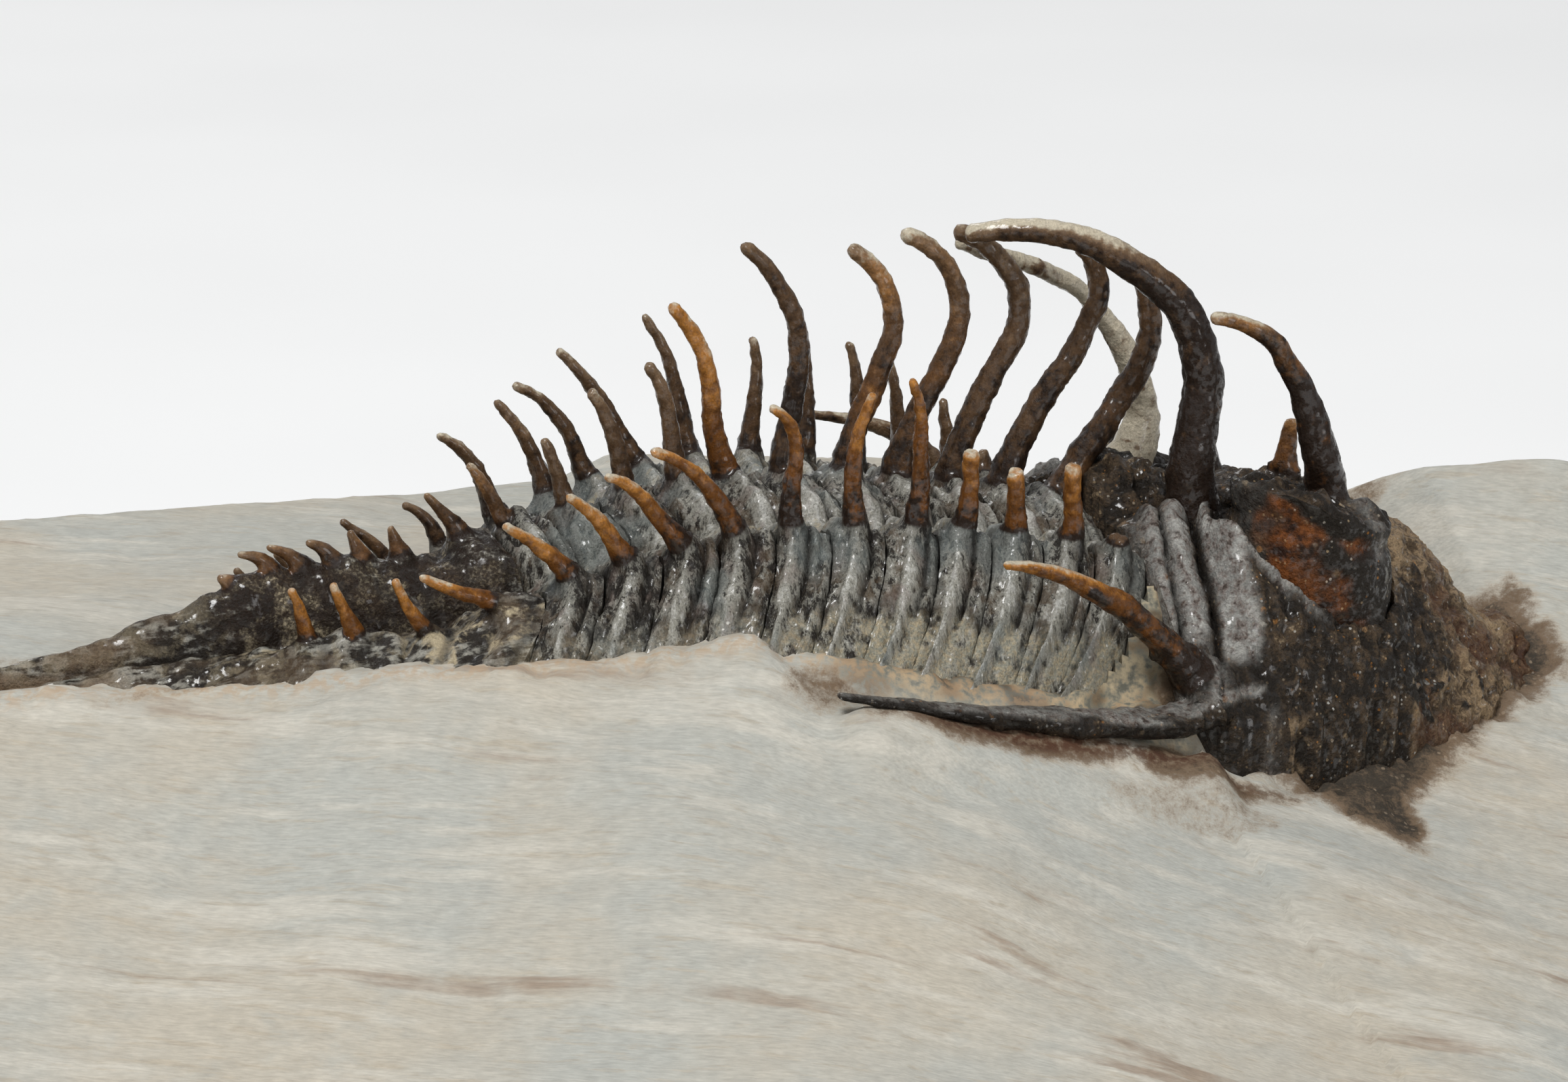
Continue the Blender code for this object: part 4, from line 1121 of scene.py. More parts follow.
def head_finish(colours):
    """Black-brown granular shell with grey folds, a rusty eye and small bright crystals, some with
    painted glints, and painted shade in its furrows.
    """

    def crystals(tree, place, clouds, size, share, seen):
        """Grains of one size with their colours, standing partly for crystals and partly for painted
        glints, and where they show.
        """
        grains = specks(tree, place, size, share)
        glint = layered(tree, colours.shell_tan, (
            (stretch(tree, grains["Facet"], 0.6, 0.9), colours.calcite_light),
            (stretch(tree, grains["Facet"], 0.3, 0.1), colours.amber_tip)))
        chance = stretch(tree, clouds["Middle"], 0.42, 0.58, seen)
        return times(tree, grains["Mask"], chance), glint

    def shell(tree, place):
        clouds = mottle(tree, place, 2.8, 6.0)
        grit = mottle(tree, place, 1.3)
        # The light mark holds painted highlights and shade as well as the shell's own tone.
        light = varied(tree, times(tree, stored(tree, "light"), 0.9),
                       (clouds["Middle"], 1.2), (clouds["Fine"], 0.9))
        crumbs = varied(tree, stored(tree, "matrix"), (clouds["Middle"], 0.8))
        olive = layered(tree, colours.shell_brown, (
            (stretch(tree, light, 0.2, 0.55), colours.shell_olive),
            (stretch(tree, clouds["Large"], 0.5, 0.62, 0.7), colours.stain_red)))
        folds = times(tree, stored(tree, "fold"),
                      stretch(tree, clouds["Middle"], 0.24, 0.46, 1.0, 0.5))
        pale = layered(tree, colours.calcite_mauve, (
            (stretch(tree, grit["Middle"], 0.3, 0.62), colours.fold_grey),
            (stretch(tree, grit["Large"], 0.46, 0.62, 0.55), colours.calcite_light),
            (stretch(tree, grit["Middle"], 0.44, 0.32, 0.7), colours.calcite_dark)))
        pale = darkened(tree, pale, clouds["Fine"], 0.32, 0.68, 0.8, 1.2)
        # Painted glints on the eyes' lenses.
        lenses = times(tree, specks(tree, place, 0.16, 0.12)["Mask"],
                       stretch(tree, clouds["Middle"], 0.46, 0.6, 0.6))
        rust = layered(tree, colours.eye_dark, (
            (stretch(tree, clouds["Middle"], 0.36, 0.6), colours.eye_rust),
            (lenses, EYE_GLINT)))
        colour = layered(tree, colours.shell_dark, (
            (stretch(tree, light, 0.24, 0.66), colours.shell_brown),
            (stretch(tree, crumbs, 0.24, 0.62), olive),
            (stretch(tree, light, 0.62, 0.92), colours.shell_tan),
            crystals(tree, place, clouds, 0.16, 0.14, 0.8),
            crystals(tree, place, clouds, 0.4, 0.05, 0.7),
            crystals(tree, place, clouds, 0.8, 0.03, 0.5),
            (folds, pale), (stored(tree, "eye"), rust),
            # Painted shade in grooves and hollows.
            (times(tree, stored(tree, "groove"), 0.88), colours.groove)))
        rough = stretch(tree, clouds["Fine"], 0.3, 0.7, 0.65, 0.3, smooth=False)
        return colour, rough, clouds["Fine"]

    return shell_finish("head_shell", colours, shell)


def colour_property(name, description, default):
    """A colour that a user can change."""
    return FloatVectorProperty(
        name=name, description=description, default=default, subtype="COLOR", min=0.0, max=1.0)


def length_property(name, description, default):
    """A length that a user can change."""
    return FloatProperty(
        name=name, description=description, default=default, unit="LENGTH", min=0.0)


class FossilColours(bpy.types.PropertyGroup):
    """Colours of the stone and of the fossil."""

    stone_warm: colour_property("Warm stone", "Most of the limestone", (0.46, 0.42, 0.345))
    stone_cool: colour_property("Cool stone", "Blue-grey patches", (0.41, 0.41, 0.37))
    stone_pale: colour_property("Pale stone", "Pale streaks of the stone", (0.535, 0.505, 0.435))
    stone_tan: colour_property("Tan stone", "Faint tan streaks of the stone", (0.4, 0.335, 0.245))
    stone_seam: colour_property("Stone seams", "Thin brown seams in the stone", (0.25, 0.175, 0.12))
    stone_rim: colour_property("Stone rim", "Edge of the stone at the fossil", (0.42, 0.28, 0.16))
    stain_dark: colour_property("Dark stain", "Dark stain beside the head", (0.03, 0.022, 0.014))
    stain_warm: colour_property("Warm stain", "Brown stain beside the fossil", (0.15, 0.1, 0.06))
    stain_tan: colour_property("Tan stain", "Outer edge of the stain", (0.33, 0.25, 0.17))
    stain_red: colour_property("Red stain", "Red-brown stain along the side", (0.06, 0.02, 0.009))
    calcite_dark: colour_property("Dark calcite", "Deep places of the rings", (0.024, 0.02, 0.016))
    calcite_grey: colour_property("Grey calcite", "Most of the rings", (0.28, 0.27, 0.23))
    calcite_light: colour_property("Light calcite", "Ridges and glints", (0.5, 0.49, 0.45))
    calcite_brown: colour_property("Brown calcite", "Brown parts of the rings",
                                   (0.085, 0.058, 0.034))
    calcite_mauve: colour_property("Mauve calcite", "Mauve parts of the rings",
                                   (0.17, 0.125, 0.105))
    calcite_blue: colour_property("Blue-grey calcite", "Bluish parts of the rings",
                                  (0.19, 0.215, 0.205))
    calcite_cream: colour_property("Cream calcite", "Stone between the ribs", (0.42, 0.35, 0.23))
    calcite_green: colour_property("Green-grey calcite", "Stone between the ribs",
                                   (0.29, 0.28, 0.22))
    fold_grey: colour_property("Grey folds", "Pale folds of the head", (0.31, 0.305, 0.28))
    shell_dark: colour_property("Dark shell", "Head and tail shields", (0.018, 0.0135, 0.0095))
    shell_brown: colour_property("Brown shell", "Brown parts of the shields", (0.072, 0.048, 0.028))
    shell_tan: colour_property("Tan shell", "Raised grains of the shields", (0.3, 0.22, 0.13))
    shell_olive: colour_property("Olive shell", "Crumbly front of the head", (0.27, 0.19, 0.11))
    eye_rust: colour_property("Eye", "Rusty face of the eyes", (0.19, 0.06, 0.014))
    eye_dark: colour_property("Dark eye", "Dark parts of the eyes' faces", (0.025, 0.009, 0.004))
    # Near-black painted shade in seams, furrows, the eyes' trenches, round spine roots, on the rings'
    # sides and under the long spines.
    groove: colour_property("Grooves", "Shaded dirt in seams and furrows", (0.01, 0.008, 0.006))
    spine_root: colour_property("Spine root", "Roots of the spines", (0.017, 0.009, 0.005))
    olive_middle: colour_property("Olive spine", "Middle of the dark spines", (0.075, 0.04, 0.018))
    olive_tip: colour_property("Olive tip", "Upper part of the dark spines", (0.16, 0.1, 0.055))
    amber_middle: colour_property("Amber spine", "Middle of the warm spines", (0.12, 0.042, 0.006))
    amber_tip: colour_property("Amber tip", "Upper part of the warm spines", (0.36, 0.15, 0.028))
    spine_worn: colour_property("Worn tip", "Broken or worn pale tips", (0.5, 0.44, 0.33))


class RingSettings(bpy.types.PropertyGroup):
    """Relief of the thorax rings."""

    band: length_property("Rib band", "Height of the smooth band on each rib", 0.00032)
    seam: length_property("Seam depth", "Depth of the groove between two rings", 0.00016)
    hollow: length_property("Hollows", "Depth of the hollows beside the bands", 0.00018)
    rough: length_property("Roughness", "Height of the rough crystals in the hollows", 0.00019)
    boss: length_property("Spine bosses", "Height of the swelling under each spine", 0.0003)


class HeadSettings(bpy.types.PropertyGroup):
    """Relief of the head shield."""

    border: length_property("Border fold", "Height of the fold along the rear edge", 0.0005)
    furrow: length_property("Border furrow", "Depth of the furrow ahead of the fold", 0.00045)
    collar: length_property("Eye collar", "Height of the swelling around each eye", 0.0021)
    granules: length_property("Granules", "Height of the grains on the shell", 0.00022)


class StoneSettings(bpy.types.PropertyGroup):
    """Relief of the block."""

    weathering: length_property("Weathering", "Height of the low lumps on the top", 0.0001)
    streaks: length_property("Streaks", "Depth of the fine streaks on the top", 0.00006)
    breakage: length_property("Broken sides", "Depth of the breakage on the sides", 0.0016)
    shelf: length_property("Shelf", "Height of the shelf of stone along the ribs", 0.00125)


class StageSettings(bpy.types.PropertyGroup):
    """The floor, the lights and the camera."""

    floor: colour_property("Floor", "Colour of the floor", (0.9, 0.9, 0.89))
    lens: FloatProperty(name="Lens", description="Focal length of the camera", default=120.0,
                        min=1.0, unit="CAMERA")
    distance: length_property("Distance", "From the camera to the middle of the animal", 0.2)
    key: FloatProperty(name="Key light", description="Strength of the large light above",
                       default=7.4, min=0.0, unit="POWER")
    fill: FloatProperty(name="Fill light", description="Strength of the light in front",
                        default=1.5, min=0.0, unit="POWER")


def stone_outline(across, deep):
    """Places on the block's upper side as shares of half its length and half its depth."""
    x = across * np.sqrt(1.0 - STONE_CORNER_ROUNDING * deep ** 2)
    y = deep * np.sqrt(1.0 - STONE_CORNER_ROUNDING * across ** 2)
    x *= (1.0 + ragged(END_RAGGEDNESS, y) * np.abs(x) ** 3)
    y *= (1.0 + ragged(SIDE_RAGGEDNESS, x) * np.abs(y) ** 3)
    cut = BACK_LEFT_CUT / (STONE_DEPTH / 2.0) * rise(BACK_LEFT_START - x, BACK_LEFT_WIDTH)
    return x, y - cut * np.clip(y, 0.0, None) ** 2


def ragged(waves, place):
    """How far the block's broken edge stands out or in at a place along it, as a share."""
    return sum(share * np.sin(turns * place + phase) for share, turns, phase in waves)


def swell(x, y):
    """Low waves of the stone's weathered surface, from a few crossing ripples."""
    return sum(height * np.sin(along_x * x + along_y * y + phase)
               for height, along_x, along_y, phase in RIPPLES)


def fitted(values, size):
    """Shares stretched so that they span a whole size about the middle."""
    low, high = values.min(), values.max()
    return ((values - low) / (high - low) - 0.5) * size


def spotted(spots, ahead, out, wander):
    """How strongly the nearest of some long spots marks each place."""
    total = np.zeros(np.shape(ahead))
    for centre_ahead, centre_out, long, wide, strength in spots:
        distance = np.hypot((ahead - centre_ahead) / long, (out - centre_out) / wide)
        total = np.maximum(total, strength * smooth_step(1.3 - distance * 0.85 + 0.25 * wander))
    return total


def shelf_height(ahead, out):
    """The shelf of stone that laps over the near ribs' feet and holds the genal spine."""
    reach = rise(ahead + 3.5, 3.5) * rise(13.6 - ahead, 1.6)
    lap = rise(out + 12.6, 2.2)
    bank = bell(out + 12.9, 1.7)
    return reach * np.maximum(lap, 0.85 * bank)


def stained(ahead, out, wander):
    """How strongly the dark stain around the head marks each place."""
    beyond = np.abs(out) - along(CEPHALON_HALF_WIDTH, ahead)
    beyond = np.maximum(beyond, 1.2 * (ahead - 31.4))
    reach = np.where(out < 0.0, along(STAIN_REACH, ahead), FAR_STAIN_REACH)
    depth = reach - beyond + 0.8 * wander
    begins = rise(ahead - 13.0 - 0.5 * wander, 2.5)
    return smooth_step(0.3 + depth / 3.4) * begins * (ahead < 36.0)


def corner_filling(ahead, out):
    """The stone that fills the corner between the first ring's swept edge and the head."""
    side = np.abs(out)
    ring_edge = swept_ahead(11.95, out)
    share = rise(ahead - ring_edge + 0.3, 0.3) * rise(12.5 - ahead, 0.3)
    share *= rise(side - 7.3, 0.5) * rise(12.4 - side, 0.6)
    open_width = np.clip((12.1 - ring_edge) / 2.0, 0.0, 1.0)
    height = body_height(11.9, np.clip(out, -10.4, 10.4)) - 0.25 + 0.15 * open_width
    height = np.minimum(height, cephalon_height(12.4, out) - 0.25)
    return height, share


def build_walls(block, depth):
    """Extrudes the rim of the top down to the base and breaks up the sides."""
    count = len(block.data.vertices)
    in_edit_mode(block, "EDGE")
    bpy.ops.mesh.select_non_manifold(
        extend=False, use_wire=False, use_boundary=True, use_multi_face=False,
        use_non_contiguous=False, use_verts=False)
    for _ in range(WALL_ROWS):
        bpy.ops.mesh.extrude_edges_move(TRANSFORM_OT_translate={"value": (0.0, 0.0, 0.0)})
    bpy.ops.mesh.edge_face_add()
    bpy.ops.object.mode_set(mode="OBJECT")
    places = vertex_places(block)
    added = places[count:].reshape(WALL_ROWS, -1, 3)
    for row in range(WALL_ROWS):
        share = (row + 1) / WALL_ROWS
        wall = added[row]
        top = wall[:, 2] / MM
        flat = wall[:, :2] / MM
        shrink = 1.0 - (1.0 - STONE_BASE_SHARE) * share
        height = top * (1.0 - share)
        here = np.column_stack((flat, height))
        lumps = rough_noise(here, 6.0, 41, 5)
        facets = np.abs(rough_noise(here * (1.0, 1.0, 0.6), 3.0, 51, 3))
        inward = depth * (0.55 * (1.0 + lumps) + 0.7 * facets) * math.sin(math.pi * share) ** 0.5
        reach = np.linalg.norm(flat, axis=1)[:, None]
        wall[:, :2] = (flat * shrink - flat / reach * np.clip(inward, 0.0, None)[:, None]) * MM
        wall[:, 2] = height * MM
    place_vertices(block, places)
    in_edit_mode(block)
    face_outwards()


def paint_stains(block, count):
    """Marks the stains beside the fossil, a painted shadow in the corner behind the cheek spine, its
    rim and the broken sides.
    """
    points = to_animal(vertex_places(block))
    ahead, out = points[:, 0], points[:, 1]
    flat = np.column_stack((ahead, out, np.zeros(len(ahead))))
    wander = 0.9 * rough_noise(flat, 1.8, 61)
    top = np.ones(len(points))
    top[count:] = 0.0
    stain = np.maximum(stained(ahead, out, wander), spotted(STAINS, ahead, out, wander))
    _, filled = corner_filling(ahead, out)
    # Painted shadow: a dark pocket behind the cheek spine's root and a dark line along the head's rear
    # edge, in the stain's colours.
    hollow = bell(ahead - 11.9, 0.55) * bell(np.abs(out) - 10.6, 0.9)
    hollow = 1.2 * filled * np.maximum(hollow, bell(ahead - 12.35, 0.25))
    stain = np.maximum(stain * (1.0 - filled), hollow)
    paint(block, "stain", stain * top)
    paint(block, "red", spotted(RED_STAINS, ahead, out, 0.6 * wander) * top)
    lap = rise(out + 13.0 + 0.4 * wander, 0.8) * shelf_height(ahead, out)
    paint(block, "shelf", np.maximum(filled, lap * rise(0.6 - out - 8.0, 0.5)) * top)
    beyond = np.abs(out) - outline_half_width(ahead)
    inside = (ahead > -34.0) & (ahead < 11.0)
    paint(block, "rim", bell(beyond / 0.5) * inside * top)
    paint(block, "broken", 1.0 - top)


class FOSSIL_OT_block(bpy.types.Operator):
    """Models the block of limestone with its bed for the animal and its broken sides"""

    bl_idname = "fossil.block"
    bl_label = "Limestone Block"

    def execute(self, context):
        settings = context.scene.fossil_stone
        block, u, v = add_sheet("limestone_block", *STONE_CELLS)
        x, y = stone_outline(2.0 * u - 1.0, 2.0 * v - 1.0)
        x, y = fitted(x, STONE_LENGTH), fitted(y, STONE_DEPTH)
        points = to_animal(stack(x, y, 0.0) * MM)
        ahead, out = points[:, 0], points[:, 1]
        up = ground_height(ahead, out) + 0.45 * swell(x, y)
        edge = outline_half_width(ahead)
        shifts = (-7.0, -4.5, -2.0, 0.0, 2.0, 4.5, 7.0)
        evened = sum(along(NEAR_GROUND, ahead + shift) for shift in shifts) / len(shifts)
        evened -= along(NEAR_GROUND, ahead)
        up += evened * rise(-edge - out - 0.5, 6.0)
        up += (0.3 + 1.4 * rise(x - 26.0, 11.0)) * smooth_step(
            (out + 2.0) / 7.0) * rise(x - 14.0, 12.0)
        flat = stack(x, y, 0.0)
        weathering = settings.weathering / MM
        up += weathering * rough_noise(flat, 5.0, 11) + 0.3 * weathering * rough_noise(flat, 1.3, 21)
        streaky = stack(x * 0.16, y + 0.15 * x, 0.0)
        up -= settings.streaks / MM * np.abs(rough_noise(streaky, 0.9, 31, 3))
        shelf = shelf_height(ahead, out)
        up += settings.shelf / MM * shelf
        up += 0.12 * shelf * rough_noise(flat, 0.9, 34, 3)
        up += 0.5 * bell(ahead + 12.0, 3.0) * bell(out + 8.4, 1.3)
        up += 0.6 * bell(ahead - 32.4, 1.7) * bell(out / 3.5)
        rumpled = bell(np.abs(out) - edge, 1.3) * (ahead > -34.0) * (ahead < 32.0)
        up += 0.22 * rumpled * rough_noise(flat, 1.1, 36, 3)
        foot = along(GENAL_FOOT, ahead) - 0.42 * np.clip(-13.3 - out, 0.0, None)
        beside = rise(ahead + 3.0, 2.0) * rise(13.2 - ahead, 1.5)
        beside *= rise(-12.6 - out, 0.4) * rise(out + 16.0, 1.8)
        up += np.clip(foot - up, 0.0, None) * beside
        stain = stained(ahead, out, 0.0)
        up += 0.32 * stain * rough_noise(flat, 1.0, 39, 3) * (ahead > HEAD_REAR)
        inset = edge - np.abs(out)
        inside = (ahead > -30.0) & (ahead < 30.6)
        bed = np.where(ahead > HEAD_REAR, CEPHALON_FLOOR, THORAX_FLOOR) - 0.2
        sunk = rise(inset - 1.6, 0.7) * inside * rise(30.0 - ahead, 1.5)
        up += (np.minimum(bed, up) - up) * sunk
        filling, share = corner_filling(ahead, out)
        filling += 0.2 * rough_noise(flat, 0.9, 44, 3)
        pocket = bell(ahead - 11.8, 0.5) * bell(np.abs(out) - 10.5, 0.8)
        filling -= 0.7 * pocket
        up += (filling - up) * share
        rim = np.minimum(np.minimum(u, 1.0 - u) * STONE_LENGTH, np.minimum(v, 1.0 - v) * STONE_DEPTH)
        up -= 0.9 * np.clip(1.0 - rim / 1.6, 0.0, 1.0) ** 2
        place_vertices(block, stack(x, y, BODY_PLACE[2] + up) * MM)
        count = len(block.data.vertices)
        build_walls(block, settings.breakage / MM)
        paint_stains(block, count)
        finish_piece(block, "matrix_stone", limestone_finish(context.scene.fossil_colours), 80.0)
        return {"FINISHED"}


def root_on_body(ahead, side):
    """The root of a spine, sunk a little into the shoulder of a side, or at 0 into the crest."""
    out = side * along(SHOULDER_OUT, ahead)
    return np.array((swept_ahead(ahead, out), out, body_height(ahead, out) - ROOT_SINK), dtype=float)


def ring_spines(number):
    """The three spines of one ring."""
    centre = FIRST_SEGMENT_AHEAD - SEGMENT_PITCH * (number - 1)
    share = (number - 1) / (SEGMENTS - 1)
    length, leans = AXIAL_SPINES[number - 1]
    front, rear = AXIAL_RADII
    radii = tuple(SPINE_FULLNESS * (a + (b - a) * share) for a, b in zip(front, rear))
    spines = [Spine(
        spine_line(root_on_body(centre, 0.0), length, leans), radii,
        AXIAL_TONES[number - 1], hue=AXIAL_HUES[number - 1], flare=0.55, seed=10 * number)]
    for side, rows in ((-1.0, NEAR_SPINES), (1.0, FAR_SPINES)):
        shift, length, leans = rows[number - 1]
        broken = side < 0.0 and number <= BROKEN_NEAR_SPINES
        radii = BROKEN_SPINE_RADII if broken else tuple(
            SPINE_FULLNESS * radius for radius in SIDE_SPINE_RADII)
        tones, hue = (NEAR_TONES[number - 1], 0.85) if side < 0.0 else (FAR_TONES, 0.3)
        if number == 1:
            hue = 0.1
        line = spine_line(root_on_body(centre + shift, side), length, leans, SIDE_SPLAY)
        spines.append(Spine(line, radii, tones, hue=hue, upper_paling=0.25, flare=0.5, broken=broken,
                            seed=10 * number + (3 if side < 0.0 else 6)))
    return spines


def even_columns(ahead, shares):
    """Places out from the middle, evenly spaced over the back, for shares from 0 to 1."""
    tries = np.linspace(-1.0, 1.0, 601) * along(BODY_HALF_WIDTH, ahead)
    steps = np.hypot(np.diff(tries), np.diff(body_height(ahead, tries)))
    lengths = np.concatenate(([0.0], np.cumsum(steps)))
    return np.interp(shares * lengths[-1], lengths, tries)


def from_root(spine, ahead, out, narrow=1.0):
    """How far places on the shell are from a spine's root."""
    root = spine.at(ROOT_SINK)
    return np.hypot(swept_ahead(ahead, out) - root[0], (out - root[1]) * narrow)


def ring_relief(settings, number, front, ahead, out, spines):
    """Fine relief of a ring, and where its finish changes, with its painted light and shade. front
    runs from -1 to 1.
    """
    axis = along(AXIS_HALF_WIDTH, ahead)
    shoulder = along(SHOULDER_OUT, ahead)
    side = np.abs(out)
    flank = flank_share(ahead, out)
    wander = 0.1 * noise(stack(out * 0.9, number * 5.0, 0.0), 1.0, 70 + number)
    place = front + wander
    shift = np.where(out < 0.0, NEAR_SPINES[number - 1][0], FAR_SPINES[number - 1][0])
    centre = 0.7 * shift * smooth_step(side / shoulder) - 0.1
    ragged_edge = 0.05 * noise(stack(front * 2.5, number * 3.0, out), 0.8, 75 + number)
    low = rise(flank + ragged_edge - 0.56, 0.1)
    width = 0.38 - 0.1 * flank - 0.13 * low
    band = np.exp(-np.abs((place - centre) / width) ** 3)
    inner = rise(side - axis * 0.9, 0.6) * rise(shoulder - side, 0.9)
    on_axis = rise(axis * 0.98 - side, 0.5)
    fine = stack(front * 4.6, number * 7.0, out * 0.95)
    rough = noise(fine, 1.0, 80 + number) + 0.6 * noise(fine * 2.2, 1.0, 90 + number)
    lumps = noise(stack(front * 1.1, number * 9.0, out * 1.1), 0.62, 95 + number)
    crystals = np.abs(noise(stack(front * 1.1, number * 9.0, out * 1.1), 0.3, 98 + number))
    hollow = 1.0 - band
    height = settings.band / MM * band * (1.0 - 0.25 * inner)
    height -= settings.hollow / MM * hollow * (1.0 + 0.9 * low)
    height += settings.rough / MM * rough * (0.14 + 0.86 * hollow) * (1.0 - 0.4 * low)
    height = height + 0.13 * lumps * (hollow * low + inner) + 0.1 * crystals * hollow
    side_line = bell(place - centre - width - 0.16, 0.1) * (1.0 - low)
    height -= 0.2 * side_line
    ledge = bell(flank + ragged_edge - 0.5, 0.05) * hollow
    height += 0.1 * ledge
    seam = bell(np.abs(front) - 1.0, 0.13)
    height -= settings.seam / MM * seam
    knobs = bell(side - 0.9 * axis, 0.55) * bell(place + 0.25, 0.6)
    posts = bell(side - 0.5 * (axis + shoulder), 0.7) * bell(place - 0.1, 0.55)
    height = height + 0.26 * knobs + 0.2 * posts + 0.16 * on_axis * lumps
    root_shade = np.zeros_like(height)
    for spine in spines:
        height += settings.boss / MM * bell(
            from_root(spine, ahead, out) / (1.7 * spine.radii[0]))
        root_shade = np.maximum(root_shade, bell(from_root(spine, ahead, out, 0.6) / 0.75))
    ground = along(NEAR_GROUND, ahead)
    foot = rise(1.1 - body_height(ahead, out) + ground, 0.8) * (out < 0.0)
    height -= 0.7 * foot * rise(number - 4.5, 2.0) * (0.4 + band)
    # Painted light: bands and raised crystals are lighter, the band's rear edge carries a painted
    # highlight, and the slope inside the shoulder and the knobs are lit; the spines' roots and the low
    # hollows are darkened as painted shade.
    light = 0.34 + 0.2 * rough * hollow + 0.17 * band
    light += 0.2 * bell(place - centre + 0.12, 0.12) * band
    light = light + 0.3 * inner * smooth_step(lumps + 0.4) + 0.25 * knobs * smooth_step(lumps + 0.5)
    rear = rise(number - 5.5, 3.0)
    light = light - 0.12 * rear - 0.25 * root_shade - 0.1 * low * hollow
    fill = low * hollow * (1.0 - 0.7 * rear) + inner * rise(lumps - 0.1, 0.4) * 0.8
    # Painted shade in the seams between rings, along the line beside each band, round the spines'
    # roots and in a shadow line under the ledge.
    groove = np.clip(0.5 * seam * (1.0 - low) + 0.9 * side_line + root_shade * 0.55
                     + 0.6 * bell(flank + ragged_edge - 0.585, 0.03) * hollow, 0.0, 1.0)
    marks = {"light": light, "band": band, "fill": fill, "groove": groove}
    return height, marks


def paint_ring(ring, settings, number, centre, reach, spines):
    """Stores what the finish reads, worked out again from each vertex's place."""
    points = to_animal(vertex_places(ring))
    ahead, out = unswept(points), points[:, 1]
    front = np.clip((ahead - centre) / reach, -1.0, 1.0)
    _, marks = ring_relief(settings, number, front, ahead, out, spines)
    below = body_height(ahead, out) - points[:, 2]
    shell = rise(below + 0.9, 0.2)
    wall = rise(below - 0.6, 0.3)
    paint(ring, "light", marks["light"] * shell)
    paint(ring, "band", marks["band"] * shell)
    paint(ring, "fill", marks["fill"] * shell * (1.0 - wall))
    # The ring's sides below its shell are painted in shade.
    paint(ring, "groove", np.maximum(marks["groove"] * shell, wall))
    paint_spines(ring, points, spines)


def make_ring(number, settings, material):
    """One ring with its spines, painted for its finish."""
    centre = FIRST_SEGMENT_AHEAD - SEGMENT_PITCH * (number - 1)
    reach = (SEGMENT_PITCH - RING_SEAM) / 2.0
    ring, u, v = add_sheet(f"ring_{number:02d}", *RING_CELLS)
    front = 2.0 * v - 1.0
    ahead = centre + reach * front
    half = along(BODY_HALF_WIDTH, ahead) / along(BODY_HALF_WIDTH, centre)
    out = even_columns(centre, u) * half
    spines = ring_spines(number)
    relief, _ = ring_relief(settings, number, front, ahead, out, spines)
    up = body_height(ahead, out) + relief
    place_vertices(ring, to_world(stack(swept_ahead(ahead, out), out, up)))
    close_below(ring, THORAX_FLOOR)
    tubes = [spine.build(f"ring_{number:02d}_spine_{index}")
             for index, spine in enumerate(spines)]
    fuse(ring, [join(tubes)])
    relax_roots(ring, spines)
    roughen(ring, 0.32, 0.15)
    paint_ring(ring, settings, number, centre, reach, spines)
    finish_piece(ring, f"thorax_segment_{number:02d}", material)


class FOSSIL_OT_rings(bpy.types.Operator):
    """Models the eleven rings of the thorax with their ribs and spines"""

    bl_idname = "fossil.rings"
    bl_label = "Thorax Rings"

    def execute(self, context):
        settings = context.scene.fossil_rings
        material = thorax_finish(context.scene.fossil_colours)
        for number in range(1, SEGMENTS + 1):
            make_ring(number, settings, material)
        return {"FINISHED"}


def tail_relief(ahead, out, spines):
    """Fine relief of the tail shield, and where its finish changes."""
    axis = along(AXIS_HALF_WIDTH, ahead)
    side = np.abs(out)
    flank = flank_share(ahead, out)
    fade = rise(ahead + 25.0, 8.0)
    turn = 2.0 * math.pi * (ahead + 12.1) / 1.5
    furrows = np.cos(turn) * fade
    places = stack(ahead, out, 0.0)
    lumps = rough_noise(places, 1.3, 101, 3)
    height = 0.12 * furrows * (1.0 - 0.4 * flank)
    height -= 0.25 * bell(side - axis - 0.2, 0.35) * fade
    height = height + 0.13 * lumps + 0.09 * np.abs(noise(places, 0.45, 106)) * fade
    chips = rise(noise(places, 1.9, 111) - 0.05, 0.25) * fade
    height -= 0.16 * chips * (1.0 + 0.6 * noise(places, 0.35, 121))
    ribs = noise(stack(ahead * 0.22, out * 2.2, 0.0), 1.0, 131)
    ribs += 0.6 * noise(stack(ahead * 0.4, out * 5.0, 0.0), 1.0, 133)
    height += 0.13 * ribs * (1.0 - fade)
    crest = rise(axis * 1.35 - side, 0.6) * rise(ahead + 23.5, 2.0)
    height += 0.2 * crest * np.clip(noise(places, 0.8, 136), -0.3, 1.0)
    for spine in spines:
        height += 0.3 * bell(from_root(spine, ahead, out) / (2.0 * spine.radii[0]))
    # Painted shade in the furrows and beside the axis.
    groove = 0.8 * rise(-furrows - 0.3, 0.7) * fade
    groove = np.clip(groove + bell(side - axis - 0.2, 0.3) * fade, 0.0, 1.0)
    # Painted light: raised lumps and ribs are lighter, and a painted shade darkens a band of the
    # shield around 22 mm behind the animal's middle.
    shade = bell(ahead + 22.0, 3.0) * 0.25
    marks = {
        "light": 0.36 + 0.18 * lumps - 0.2 * crest + 0.12 * ribs * (1.0 - fade) - shade,
        "fill": 0.25 + 0.75 * chips, "crest": crest, "end": rise(-ahead - 23.0, 6.0),
        "groove": groove * (1.0 - 0.4 * crest)}
    return height, marks


